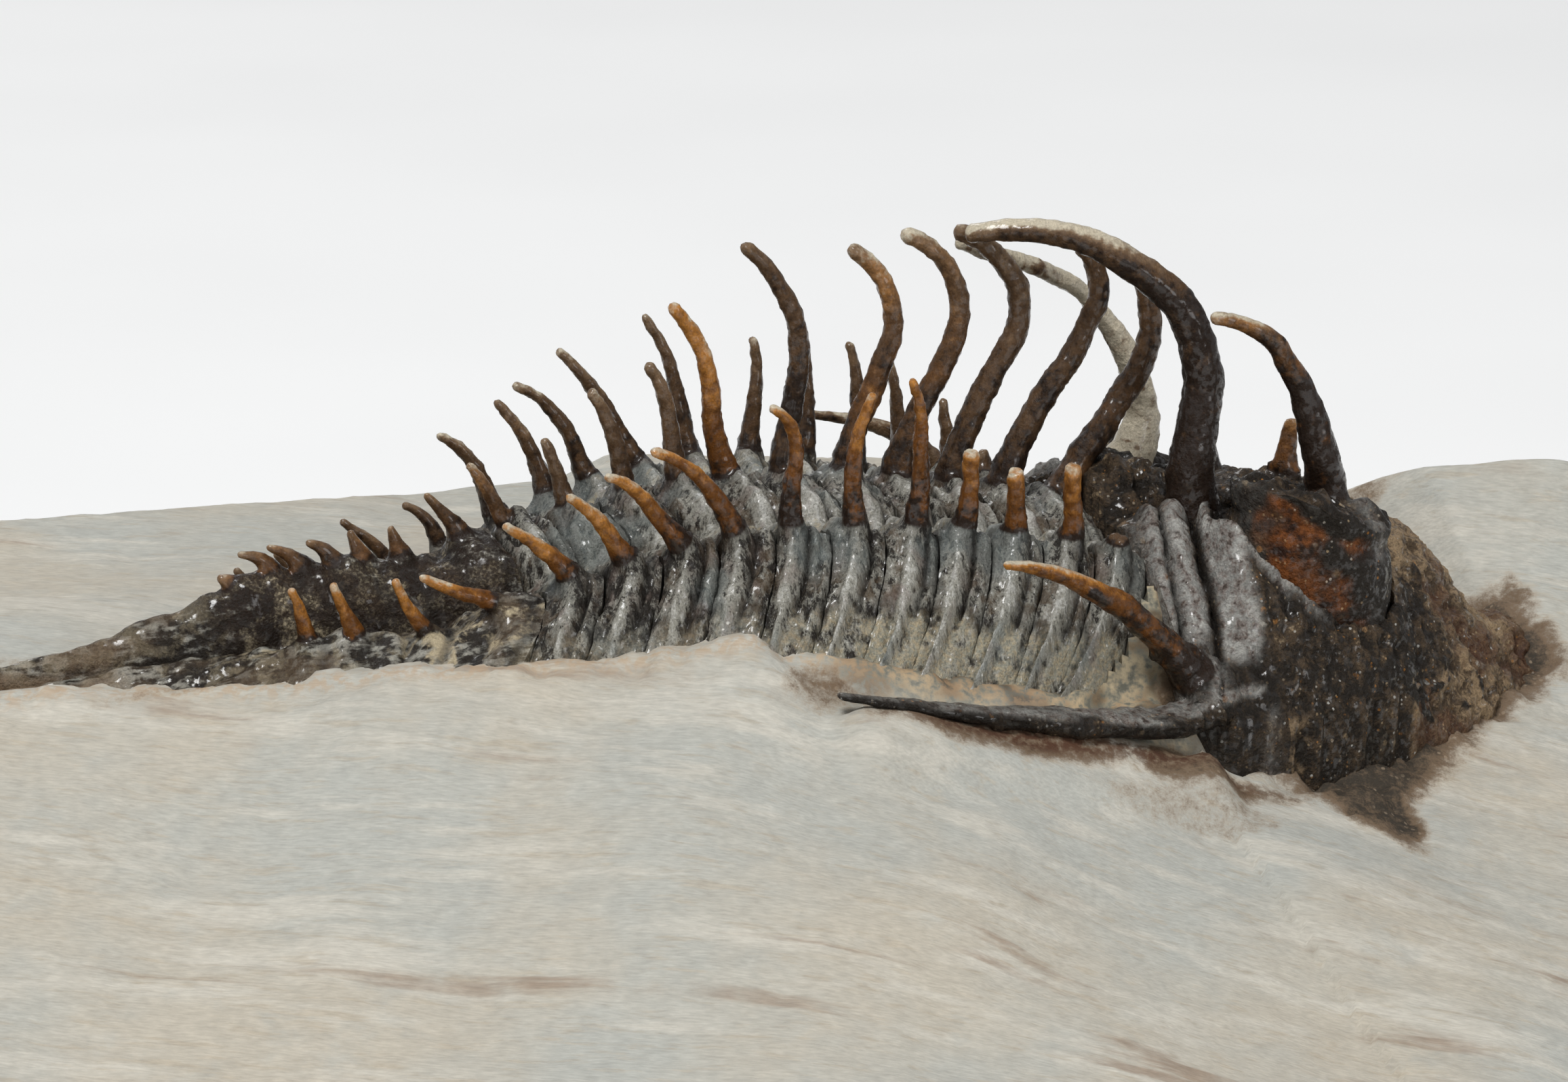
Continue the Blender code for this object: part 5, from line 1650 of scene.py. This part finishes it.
def tail_spines():
    """The hooks and side spines of the tail shield."""
    spines = []
    for index, (ahead, length, leans) in enumerate(TAIL_HOOKS):
        spines.append(Spine(
            spine_line(root_on_body(ahead, 0.0), length, leans),
            HOOK_RADII, (0.24, 0.4, 0.6), hue=0.4, flare=0.9, seed=200 + index))
    for side, rows in ((-1.0, TAIL_NEAR_SPINES), (1.0, TAIL_FAR_SPINES)):
        tones, hue = ((0.26, 0.56, 0.7), 0.85) if side < 0.0 else ((0.22, 0.36, 0.55), 0.3)
        for index, (ahead, length, leans) in enumerate(rows):
            spines.append(Spine(
                spine_line(root_on_body(ahead, side), length, leans, SIDE_SPLAY),
                SIDE_SPINE_RADII, tones, hue=hue, upper_paling=0.2, flare=0.5,
                seed=220 + index + (10 if side > 0.0 else 0)))
    return spines


class FOSSIL_OT_tail(bpy.types.Operator):
    """Models the tail shield with its hooks, side spines and long tail"""

    bl_idname = "fossil.tail"
    bl_label = "Tail Shield"

    def execute(self, context):
        tail, u, v = add_sheet("tail_shield", *TAIL_CELLS)
        front = FIRST_SEGMENT_AHEAD - SEGMENT_PITCH * (SEGMENTS - 0.5) - RING_SEAM / 2.0
        ahead = TAIL_END + (front - TAIL_END) * v ** 0.8
        out = (2.0 * u - 1.0) * along(BODY_HALF_WIDTH, ahead)
        spines = tail_spines()
        relief, _ = tail_relief(ahead, out, spines)
        up = body_height(ahead, out) + relief - 0.25 * bell(ahead - front, 0.2)
        place_vertices(tail, to_world(stack(swept_ahead(ahead, out), out, up)))
        close_below(tail, PYGIDIUM_FLOOR)
        tubes = [spine.build(f"tail_spine_{index}", 14) for index, spine in enumerate(spines)]
        fuse(tail, tubes)
        relax_roots(tail, spines)
        roughen(tail, 0.4, 0.1)
        points = to_animal(vertex_places(tail))
        ahead = unswept(points)
        _, marks = tail_relief(ahead, points[:, 1], spines)
        shell = rise(body_height(ahead, points[:, 1]) + 0.9 - points[:, 2], 0.2)
        for name, values in marks.items():
            paint(tail, name, values * shell)
        paint_spines(tail, points, spines)
        finish_piece(tail, "pygidium", tail_finish(context.scene.fossil_colours))
        return {"FINISHED"}


def border_furrow(out):
    """Where the furrow ahead of the head's rear border runs."""
    return 14.35 - 0.2 * np.clip(np.abs(out) - 6.85, -3.0, 5.0)


def eye_distance(ahead, out):
    """How far a place is from the middle of the eye on its side, as a share of its radius."""
    return np.hypot((ahead - EYE_AHEAD) / EYE_RADII[0], (np.abs(out) - EYE_OUT) / EYE_RADII[1])


def head_relief(settings, ahead, out):
    """Fine relief of the head shield, and where its finish changes."""
    side = np.abs(out)
    width = along(CEPHALON_HALF_WIDTH, ahead)
    surface = cephalon_height(ahead, out)
    places = stack(ahead, out, surface)
    wander = 0.16 * noise(places, 2.0, 141)
    from_furrow = ahead - border_furrow(out) + wander
    border = bell(from_furrow + 0.7, 0.45) + 0.8 * bell(from_furrow + 1.75, 0.3)
    furrow = bell(from_furrow / 0.17)
    seam = bell(from_furrow + 1.32, 0.1) * rise(side - 3.5, 1.0)
    knobs = bell(side - 5.2, 0.75) * bell(from_furrow + 1.0, 0.7)
    knobs += 0.8 * bell(side - 6.9, 0.6) * bell(from_furrow + 1.3, 0.6)
    height = settings.border / MM * border - settings.furrow / MM * (furrow + 0.8 * seam)
    pitted = rise(17.0 - ahead, 1.0)
    height = height + 0.35 * knobs + 0.16 * rough_noise(places, 0.8, 146, 3) * pitted
    from_eye = eye_distance(ahead, out)
    outer = rise(side - EYE_OUT + 2.6, 1.5) * rise(23.4 - ahead, 1.8)
    collar = rise(from_eye - 1.02, 0.12) * rise(2.4 - from_eye, 1.2)
    collar *= rise(from_furrow + 0.2, 1.5) * outer
    lip = bell(from_eye - 1.19, 0.05) * rise(18.6 - ahead, 1.2) * outer
    trench = bell(from_eye - 1.04, 0.07)
    height = height + settings.collar / MM * collar + 0.3 * lip - 0.5 * trench
    margin = side / width
    rim = rise(margin - 0.9, 0.06) * rise(16.8 - ahead, 1.5)
    inside_rim = bell(margin - 0.87, 0.03) * rise(17.5 - ahead, 1.5)
    height = height + 0.3 * rim - 0.35 * inside_rim * rise(ahead - 12.4, 0.5)
    height -= 0.95 * bell(ahead - 28.6, 1.5) * rise(3.6 - side, 1.5)
    lumps = noise(places, 1.5, 161)
    front = rise(ahead - 17.0, 1.6) * rise(from_eye - 1.1, 0.15)
    height += 0.24 * lumps * front
    lobes = bell(ahead - 17.2 - 0.15 * side, 0.3) + bell(ahead - 20.0 - 0.12 * side, 0.3)
    glabella = rise(along(GLABELLA_HALF_WIDTH, ahead) - side, 0.8)
    height -= 0.3 * lobes * glabella * rise(side - 0.8, 1.0)
    up = surface + height
    second = rise(from_furrow - 0.1, 0.25) * smooth_step(
        (15.75 + 0.4 * lumps - ahead) / 0.6)
    second *= rise(from_eye - 1.16, 0.06) * rise(side - 3.4, 1.0)
    second *= rise(up + 3.7 + 0.5 * lumps, 1.3)
    first = rise(-0.12 - from_furrow, 0.2) * rise(up + 3.0 + 0.5 * lumps, 1.3)
    first *= (0.35 + 0.65 * border) * np.maximum(
        rise(side - 4.4 + lumps, 1.2), np.clip(knobs, 0.0, 1.0))
    outer_side = rise(side - 10.2, 0.6)
    hook = on_line(ahead, up, CHEEK_HOOK, 0.34) * outer_side
    crescent = 0.55 * on_line(ahead, up, CHEEK_CRESCENT, 0.32) * outer_side
    sweep = np.maximum(hook, crescent) * (0.65 + 0.35 * smooth_step(lumps + 0.8))
    fold = np.clip(0.9 * second + first + 0.8 * lip + sweep, 0.0, 1.0)
    between_ridges = outer_side * rise(16.5 - ahead, 1.0) * (1.0 - sweep)
    # Painted shade in the border furrow, the seam, the eye's trench and between the cheek ridges.
    groove = furrow * (side < 10.8) + 0.95 * trench + 0.9 * seam + 0.55 * between_ridges
    groove = np.clip(groove * (1.0 - lip), 0.0, 1.0)
    crumbly = rise(ahead - 24.0 - 1.5 * lumps, 2.5)
    crumbly = np.maximum(crumbly, 0.75 * rise(-5.6 - up + lumps, 1.2) * (ahead > 16.0))
    crumbly = np.maximum(crumbly, 0.65 * rise(ahead - 21.6, 0.8) * smooth_step(up + 3.0))
    marks = {
        "light": 0.34 + 0.12 * lumps, "fold": fold, "groove": groove, "matrix": crumbly,
        "sweep": sweep}
    return height, marks


def eye_drum(name):
    """One eye: a tall oval drum with rows of lenses, under a sloping rough lid."""
    side = -1.0 if name == "near" else 1.0
    top = EYE_TOPS[name]
    drum, u, v = add_sheet(f"{name}_eye", 132, 84)
    angle = 2.0 * math.pi * np.where(u > 0.99999, 0.0, u)
    wall = np.clip(v / 0.76, 0.0, 1.0)
    cap = np.clip((v - 0.76) / 0.24, 0.0, 1.0)
    outwards = np.clip(side * np.sin(angle), 0.0, 1.0)
    around = stack(np.cos(angle) * 2.0, np.sin(angle) * 2.0, wall * 3.0 + cap * 2.0)
    spread = (1.1 - 0.1 * wall) * (1.0 - 0.13 * np.clip(-np.cos(angle), 0.0, 1.0))
    spread = spread + 0.035 * bell(wall - 1.0, 0.06) - 0.03 * bell(wall - 0.86, 0.04)
    spread *= np.cos(cap * math.pi / 2.0) ** 0.6
    rows = np.sin(angle * 30.0 + (np.floor(wall * 22.0) % 2) * math.pi) * np.sin(wall * 22.0 * math.pi)
    lenses = rise(wall - 0.3, 0.1) * rise(0.8 - wall, 0.06)
    spread += 0.006 * np.abs(rows) * lenses * (cap == 0.0)
    spread = spread + 0.03 * noise(around, 1.0, 171) + 0.022 * noise(around, 0.35, 173)
    ahead = EYE_AHEAD + np.cos(angle) * spread * EYE_RADII[0]
    tilt = -(0.27 + 0.22 * outwards) * (ahead - EYE_AHEAD) + 0.1 * outwards
    height = top - EYE_FOOT
    up = EYE_FOOT + height * wall + tilt * wall + 0.4 * np.sin(cap * math.pi / 2.0)
    up += 0.4 * noise(around, 0.7, 175) * smooth_step(cap * 3.0)
    up += 0.2 * noise(around, 0.3, 176) * smooth_step(cap * 4.0)
    up += 0.14 * noise(around, 0.5, 177) * rise(wall - 0.8, 0.15)
    lean = 0.06 * (up - EYE_FOOT)
    out = side * (EYE_OUT + lean) + np.sin(angle) * spread * EYE_RADII[1]
    up -= ROLL * side * EYE_OUT
    pole = v > 0.9999
    ahead[pole], out[pole] = EYE_AHEAD, side * (EYE_OUT + 0.06 * height)
    up[pole] = up[pole].mean()
    foot = v < 0.0001
    ahead[foot], out[foot] = EYE_AHEAD, side * EYE_OUT
    place_vertices(drum, to_world(stack(ahead, out, up)))
    close_tube(drum)
    return drum


def head_spines():
    """The spines of the head, by name."""
    spines = {}
    for index, (name, (root, length, leans, splay, radii)) in enumerate(HEAD_SPINES.items()):
        tones, hue, upper_paling, flare = HEAD_LOOKS[name]
        spines[name] = Spine(
            spine_line(root, length, leans, splay), radii, tones, hue=hue, upper_paling=upper_paling, flare=flare,
            broken=name in BROKEN_HEAD_SPINES, seed=300 + 11 * index)
    return spines


def hollow_section(across, over, share):
    """The section of a genal spine: a flat blade with a shallow trough along its upper side."""
    trough = 0.3 * bell(across - 0.15, 0.45) * (over > 0.0)
    return across * (1.2 - 0.1 * share), over * 0.55 - trough * np.abs(over)


def above_shell(settings, points):
    """How far points stand above the shield with its relief, and the shield's marks."""
    ahead, out, up = points.T
    relief, marks = head_relief(settings, ahead, out)
    return up - cephalon_height(ahead, out) - relief, marks


def shell_grain(settings, points):
    """How far the crumbly parts of the shell stand out or in, in mm."""
    raised, marks = above_shell(settings, points)
    shell = rise(0.6 - np.abs(raised), 0.3)
    rough = shell * (1.0 - 0.85 * marks["fold"]) * (1.0 - marks["groove"])
    coarse = 1.0 - 2.0 * np.abs(noise(points, 0.8, 151))
    middle = 1.0 - 2.0 * np.abs(noise(points, 0.42, 156))
    grains = settings.granules / MM * rough * (0.8 * coarse + 0.6 * middle)
    return grains + 0.3 * marks["sweep"] * shell


def eye_marks(points, raised):
    """Where the rusty faces of the eyes are, and the whole drums."""
    ahead, out, up = points.T
    from_eye = eye_distance(ahead, out)
    drum = rise(1.12 - from_eye, 0.05) * rise(raised + 0.1, 0.25)
    side = np.where(out < 0.0, -1.0, 1.0)
    outwards = rise(np.abs(out) - EYE_OUT, 2.0)
    top = np.where(out < 0.0, EYE_TOPS["near"], EYE_TOPS["far"])
    top = top - (0.27 + 0.22 * outwards) * (ahead - EYE_AHEAD) + 0.1 * outwards
    level = up + ROLL * side * EYE_OUT
    face = rise(top - 0.12 - level, 0.12)
    facing = rise(np.abs(out) - EYE_OUT + 0.9, 0.8)
    across = rise(ahead - 16.2 - 0.5 * noise(points, 0.8, 185), 0.8)
    across *= rise(20.6 - ahead, 0.5)
    return drum * face * facing * across, drum


def genal_marks(points, spines, marks):
    """Gives the long spines over the stone a pale upper edge and a dark lower one, which is painted
    shade.
    """
    for side_name, side in (("near", -1.0), ("far", 1.0)):
        spine = spines[f"{side_name}_genal"]
        lengths = np.linspace(1.0, spine.lengths[-1], 80)
        stations = spine.at(lengths)
        near = (np.abs(points[:, 1] - side * 12.6) < 2.1) & (points[:, 0] < 15.6)
        chosen = points[near]
        index = np.argmin(np.abs(chosen[:, 0:1] - stations[None, :, 0]), axis=1)
        above = chosen[:, 2] - stations[index, 2]
        outwards = side * (chosen[:, 1] - stations[index, 1])
        share = lengths[index] / lengths[-1]
        streaks = noise(chosen * (0.4, 1.5, 1.5), 0.6, 191)
        band = rise(above + 0.05 - 0.3 * outwards + 0.25 * streaks, 0.25)
        band *= (1.0 - 0.5 * share) * (0.8 + 0.3 * streaks)
        ridge = rise(0.75 - above, 0.15) * rise(15.4 - chosen[:, 0], 0.5)
        ridge *= (above > -1.6)
        lower = rise(0.1 - above + 0.3 * outwards, 0.3)
        # The lower side is darkened with painted shade.
        for name, values in (("fold", 0.85 * band), ("groove", 0.55 * lower)):
            marks[name][near] += (values - marks[name][near]) * ridge
        marks["matrix"][near] *= 0.2


def paint_head(head, settings, spines, grain):
    """Marks the folds, the painted shade in the furrows, the painted light on the grains, the eyes and
    spines for the finish.
    """
    points = to_animal(vertex_places(head))
    ahead, out, _ = points.T
    raised, marks = above_shell(settings, points)
    shell = rise(0.8 - raised, 0.3)
    # Painted light: raised grains are lightened as highlights and pits darkened as shade.
    marks["light"] = marks["light"] + 0.9 * grain
    eye, drum = eye_marks(points, raised)
    del marks["sweep"]
    marks = {name: values * shell * (1.0 - drum) for name, values in marks.items()}
    speckled = 0.3 + 0.3 * noise(points, 0.45, 181) + 0.2 * noise(points, 1.1, 183)
    marks["light"] = marks["light"] + speckled * drum
    front_stripe = bell(ahead - 20.95, 0.42) + 0.35 * bell(ahead - 15.9, 0.5)
    marks["fold"] = marks["fold"] + 0.4 * front_stripe * drum * (np.abs(out) > EYE_OUT)
    genal_marks(points, spines, marks)
    for name, values in marks.items():
        paint(head, name, values)
    paint(head, "eye", eye)
    paint_spines(head, points, [
        spine for name, spine in spines.items() if "genal" not in name], eye)


class FOSSIL_OT_head(bpy.types.Operator):
    """Models the head shield with its eyes, its great spines and its genal spines"""

    bl_idname = "fossil.head"
    bl_label = "Head Shield"

    def execute(self, context):
        settings = context.scene.fossil_head
        head, u, v = add_sheet("head_shield", *CEPHALON_CELLS)
        rear, front = CEPHALON_ENDS
        ahead = rear + (front - rear) * v
        spread = 2.0 * u - 1.0
        share = np.sign(spread) * np.abs(spread) ** 0.8
        out = share * along(CEPHALON_HALF_WIDTH, ahead)
        relief, _ = head_relief(settings, ahead, out)
        up = cephalon_height(ahead, out) + relief
        place_vertices(head, to_world(stack(ahead, out, up)))
        close_below(head, CEPHALON_FLOOR)
        spines = head_spines()
        for side in (-1.0, 1.0):
            side_name = "near" if side < 0.0 else "far"
            spines[f"{side_name}_genal"] = Spine(
                genal_line(side), GENAL_RADII, (0.0, 0.0, 0.0), flare=0.25,
                seed=400 + int(side), flat=hollow_section)
        parts = [eye_drum("near"), eye_drum("far")]
        for name, spine in spines.items():
            parts.append(spine.build(f"{name}_spine", 26 if "giant" in name else 22))
        fuse(head, parts)
        relax_roots(head, [spine for name, spine in spines.items() if "genal" not in name])
        grain = shell_grain(settings, to_animal(vertex_places(head)))
        push_out(head, grain)
        roughen(head, 0.35, 0.1)
        paint_head(head, settings, spines, grain)
        finish_piece(head, "cephalon", head_finish(context.scene.fossil_colours))
        return {"FINISHED"}


def add_light(name, place, size, power):
    """A large soft light that looks at the animal."""
    bpy.ops.object.light_add(type="AREA", location=place)
    light = bpy.context.object
    light.name = name
    light.data.shape = "DISK"
    light.data.size = size
    light.data.energy = power
    aim = Vector(BODY_PLACE) * MM - Vector(place)
    light.rotation_euler = aim.to_track_quat("-Z", "Y").to_euler()


def add_camera(context, settings):
    """The photograph's view: fifteen degrees down, square to the block's long side."""
    down = math.radians(15.0)
    centre = Vector(BODY_PLACE) * MM
    offset = Vector((0.0, -math.cos(down), math.sin(down))) * settings.distance
    bpy.ops.object.camera_add(
        location=centre + offset, rotation=(math.radians(90.0) - down, 0.0, 0.0))
    camera = context.object
    camera.name = "photograph_view"
    camera.data.lens = settings.lens
    camera.data.sensor_width = 36.0
    camera.data.clip_start = 0.005
    camera.data.clip_end = 20.0
    context.scene.camera = camera


class FOSSIL_OT_stage(bpy.types.Operator):
    """Sets the pale floor, the soft lights and the camera"""

    bl_idname = "fossil.stage"
    bl_label = "Stage"

    def execute(self, context):
        settings = context.scene.fossil_stage
        bpy.ops.object.select_all(action="DESELECT")
        bpy.ops.mesh.primitive_plane_add(size=4.0, location=(0.0, 0.0, 0.0))
        floor = context.object
        floor.name = "floor"
        material, tree, shader, place = new_material("floor_paper")
        clouds = mottle(tree, place, 60.0, 2.0)
        feed(tree, shader, {"Base Color": blend(
            tree, stretch(tree, clouds["Large"], 0.3, 0.7, 0.06), settings.floor,
            (0.5, 0.5, 0.5))})
        shader.inputs["Roughness"].default_value = 0.9
        floor.data.materials.append(material)
        add_light("key_light", (-0.2, -0.42, 0.88), 0.36, settings.key)
        add_light("fill_light", (0.5, -0.6, 0.3), 0.4, settings.fill)
        add_light("back_light", (-0.2, 0.7, 0.6), 0.4, settings.fill)
        world = bpy.data.worlds.new("soft_room")
        world.use_nodes = True
        background = world.node_tree.nodes["Background"]
        background.inputs["Color"].default_value = (0.94, 0.96, 1.0, 1.0)
        background.inputs["Strength"].default_value = 0.3
        context.scene.world = world
        add_camera(context, settings)
        context.scene.view_settings.view_transform = "Standard"
        return {"FINISHED"}


class FOSSIL_PT_panel(bpy.types.Panel):
    """Lists the steps that make the fossil"""

    bl_idname = "FOSSIL_PT_panel"
    bl_label = "Trilobite Fossil"
    bl_space_type = "VIEW_3D"
    bl_region_type = "UI"
    bl_category = "Fossil"

    def draw(self, context):
        for name, operator, settings in STEPS:
            box = self.layout.box()
            box.operator(operator)
            if settings:
                group = getattr(context.scene, settings)
                for key in group.bl_rna.properties.keys():
                    if key not in ("rna_type", "name"):
                        box.prop(group, key)


STEPS = (
    ("stage", "fossil.stage", "fossil_stage"),
    ("block", "fossil.block", "fossil_stone"),
    ("rings", "fossil.rings", "fossil_rings"),
    ("tail", "fossil.tail", None),
    ("head", "fossil.head", "fossil_head"),
)
SETTINGS = {
    "fossil_colours": FossilColours,
    "fossil_rings": RingSettings,
    "fossil_head": HeadSettings,
    "fossil_stone": StoneSettings,
    "fossil_stage": StageSettings,
}
CLASSES = (
    *SETTINGS.values(), FOSSIL_OT_stage, FOSSIL_OT_block, FOSSIL_OT_rings, FOSSIL_OT_tail,
    FOSSIL_OT_head, FOSSIL_PT_panel)


def register():
    """Makes the settings, the steps and the panel known to Blender."""
    for item in CLASSES:
        bpy.utils.register_class(item)
    for name, group in SETTINGS.items():
        setattr(bpy.types.Scene, name, PointerProperty(type=group))


def unregister():
    """Takes them away again."""
    for name in SETTINGS:
        delattr(bpy.types.Scene, name)
    for item in reversed(CLASSES):
        bpy.utils.unregister_class(item)


def main():
    """Makes the whole fossil, step by step."""
    register()
    bpy.ops.object.select_all(action="DESELECT")
    bpy.ops.fossil.stage()
    bpy.ops.fossil.block()
    bpy.ops.fossil.rings()
    bpy.ops.fossil.tail()
    bpy.ops.fossil.head()


if __name__ == "__main__":
    main()
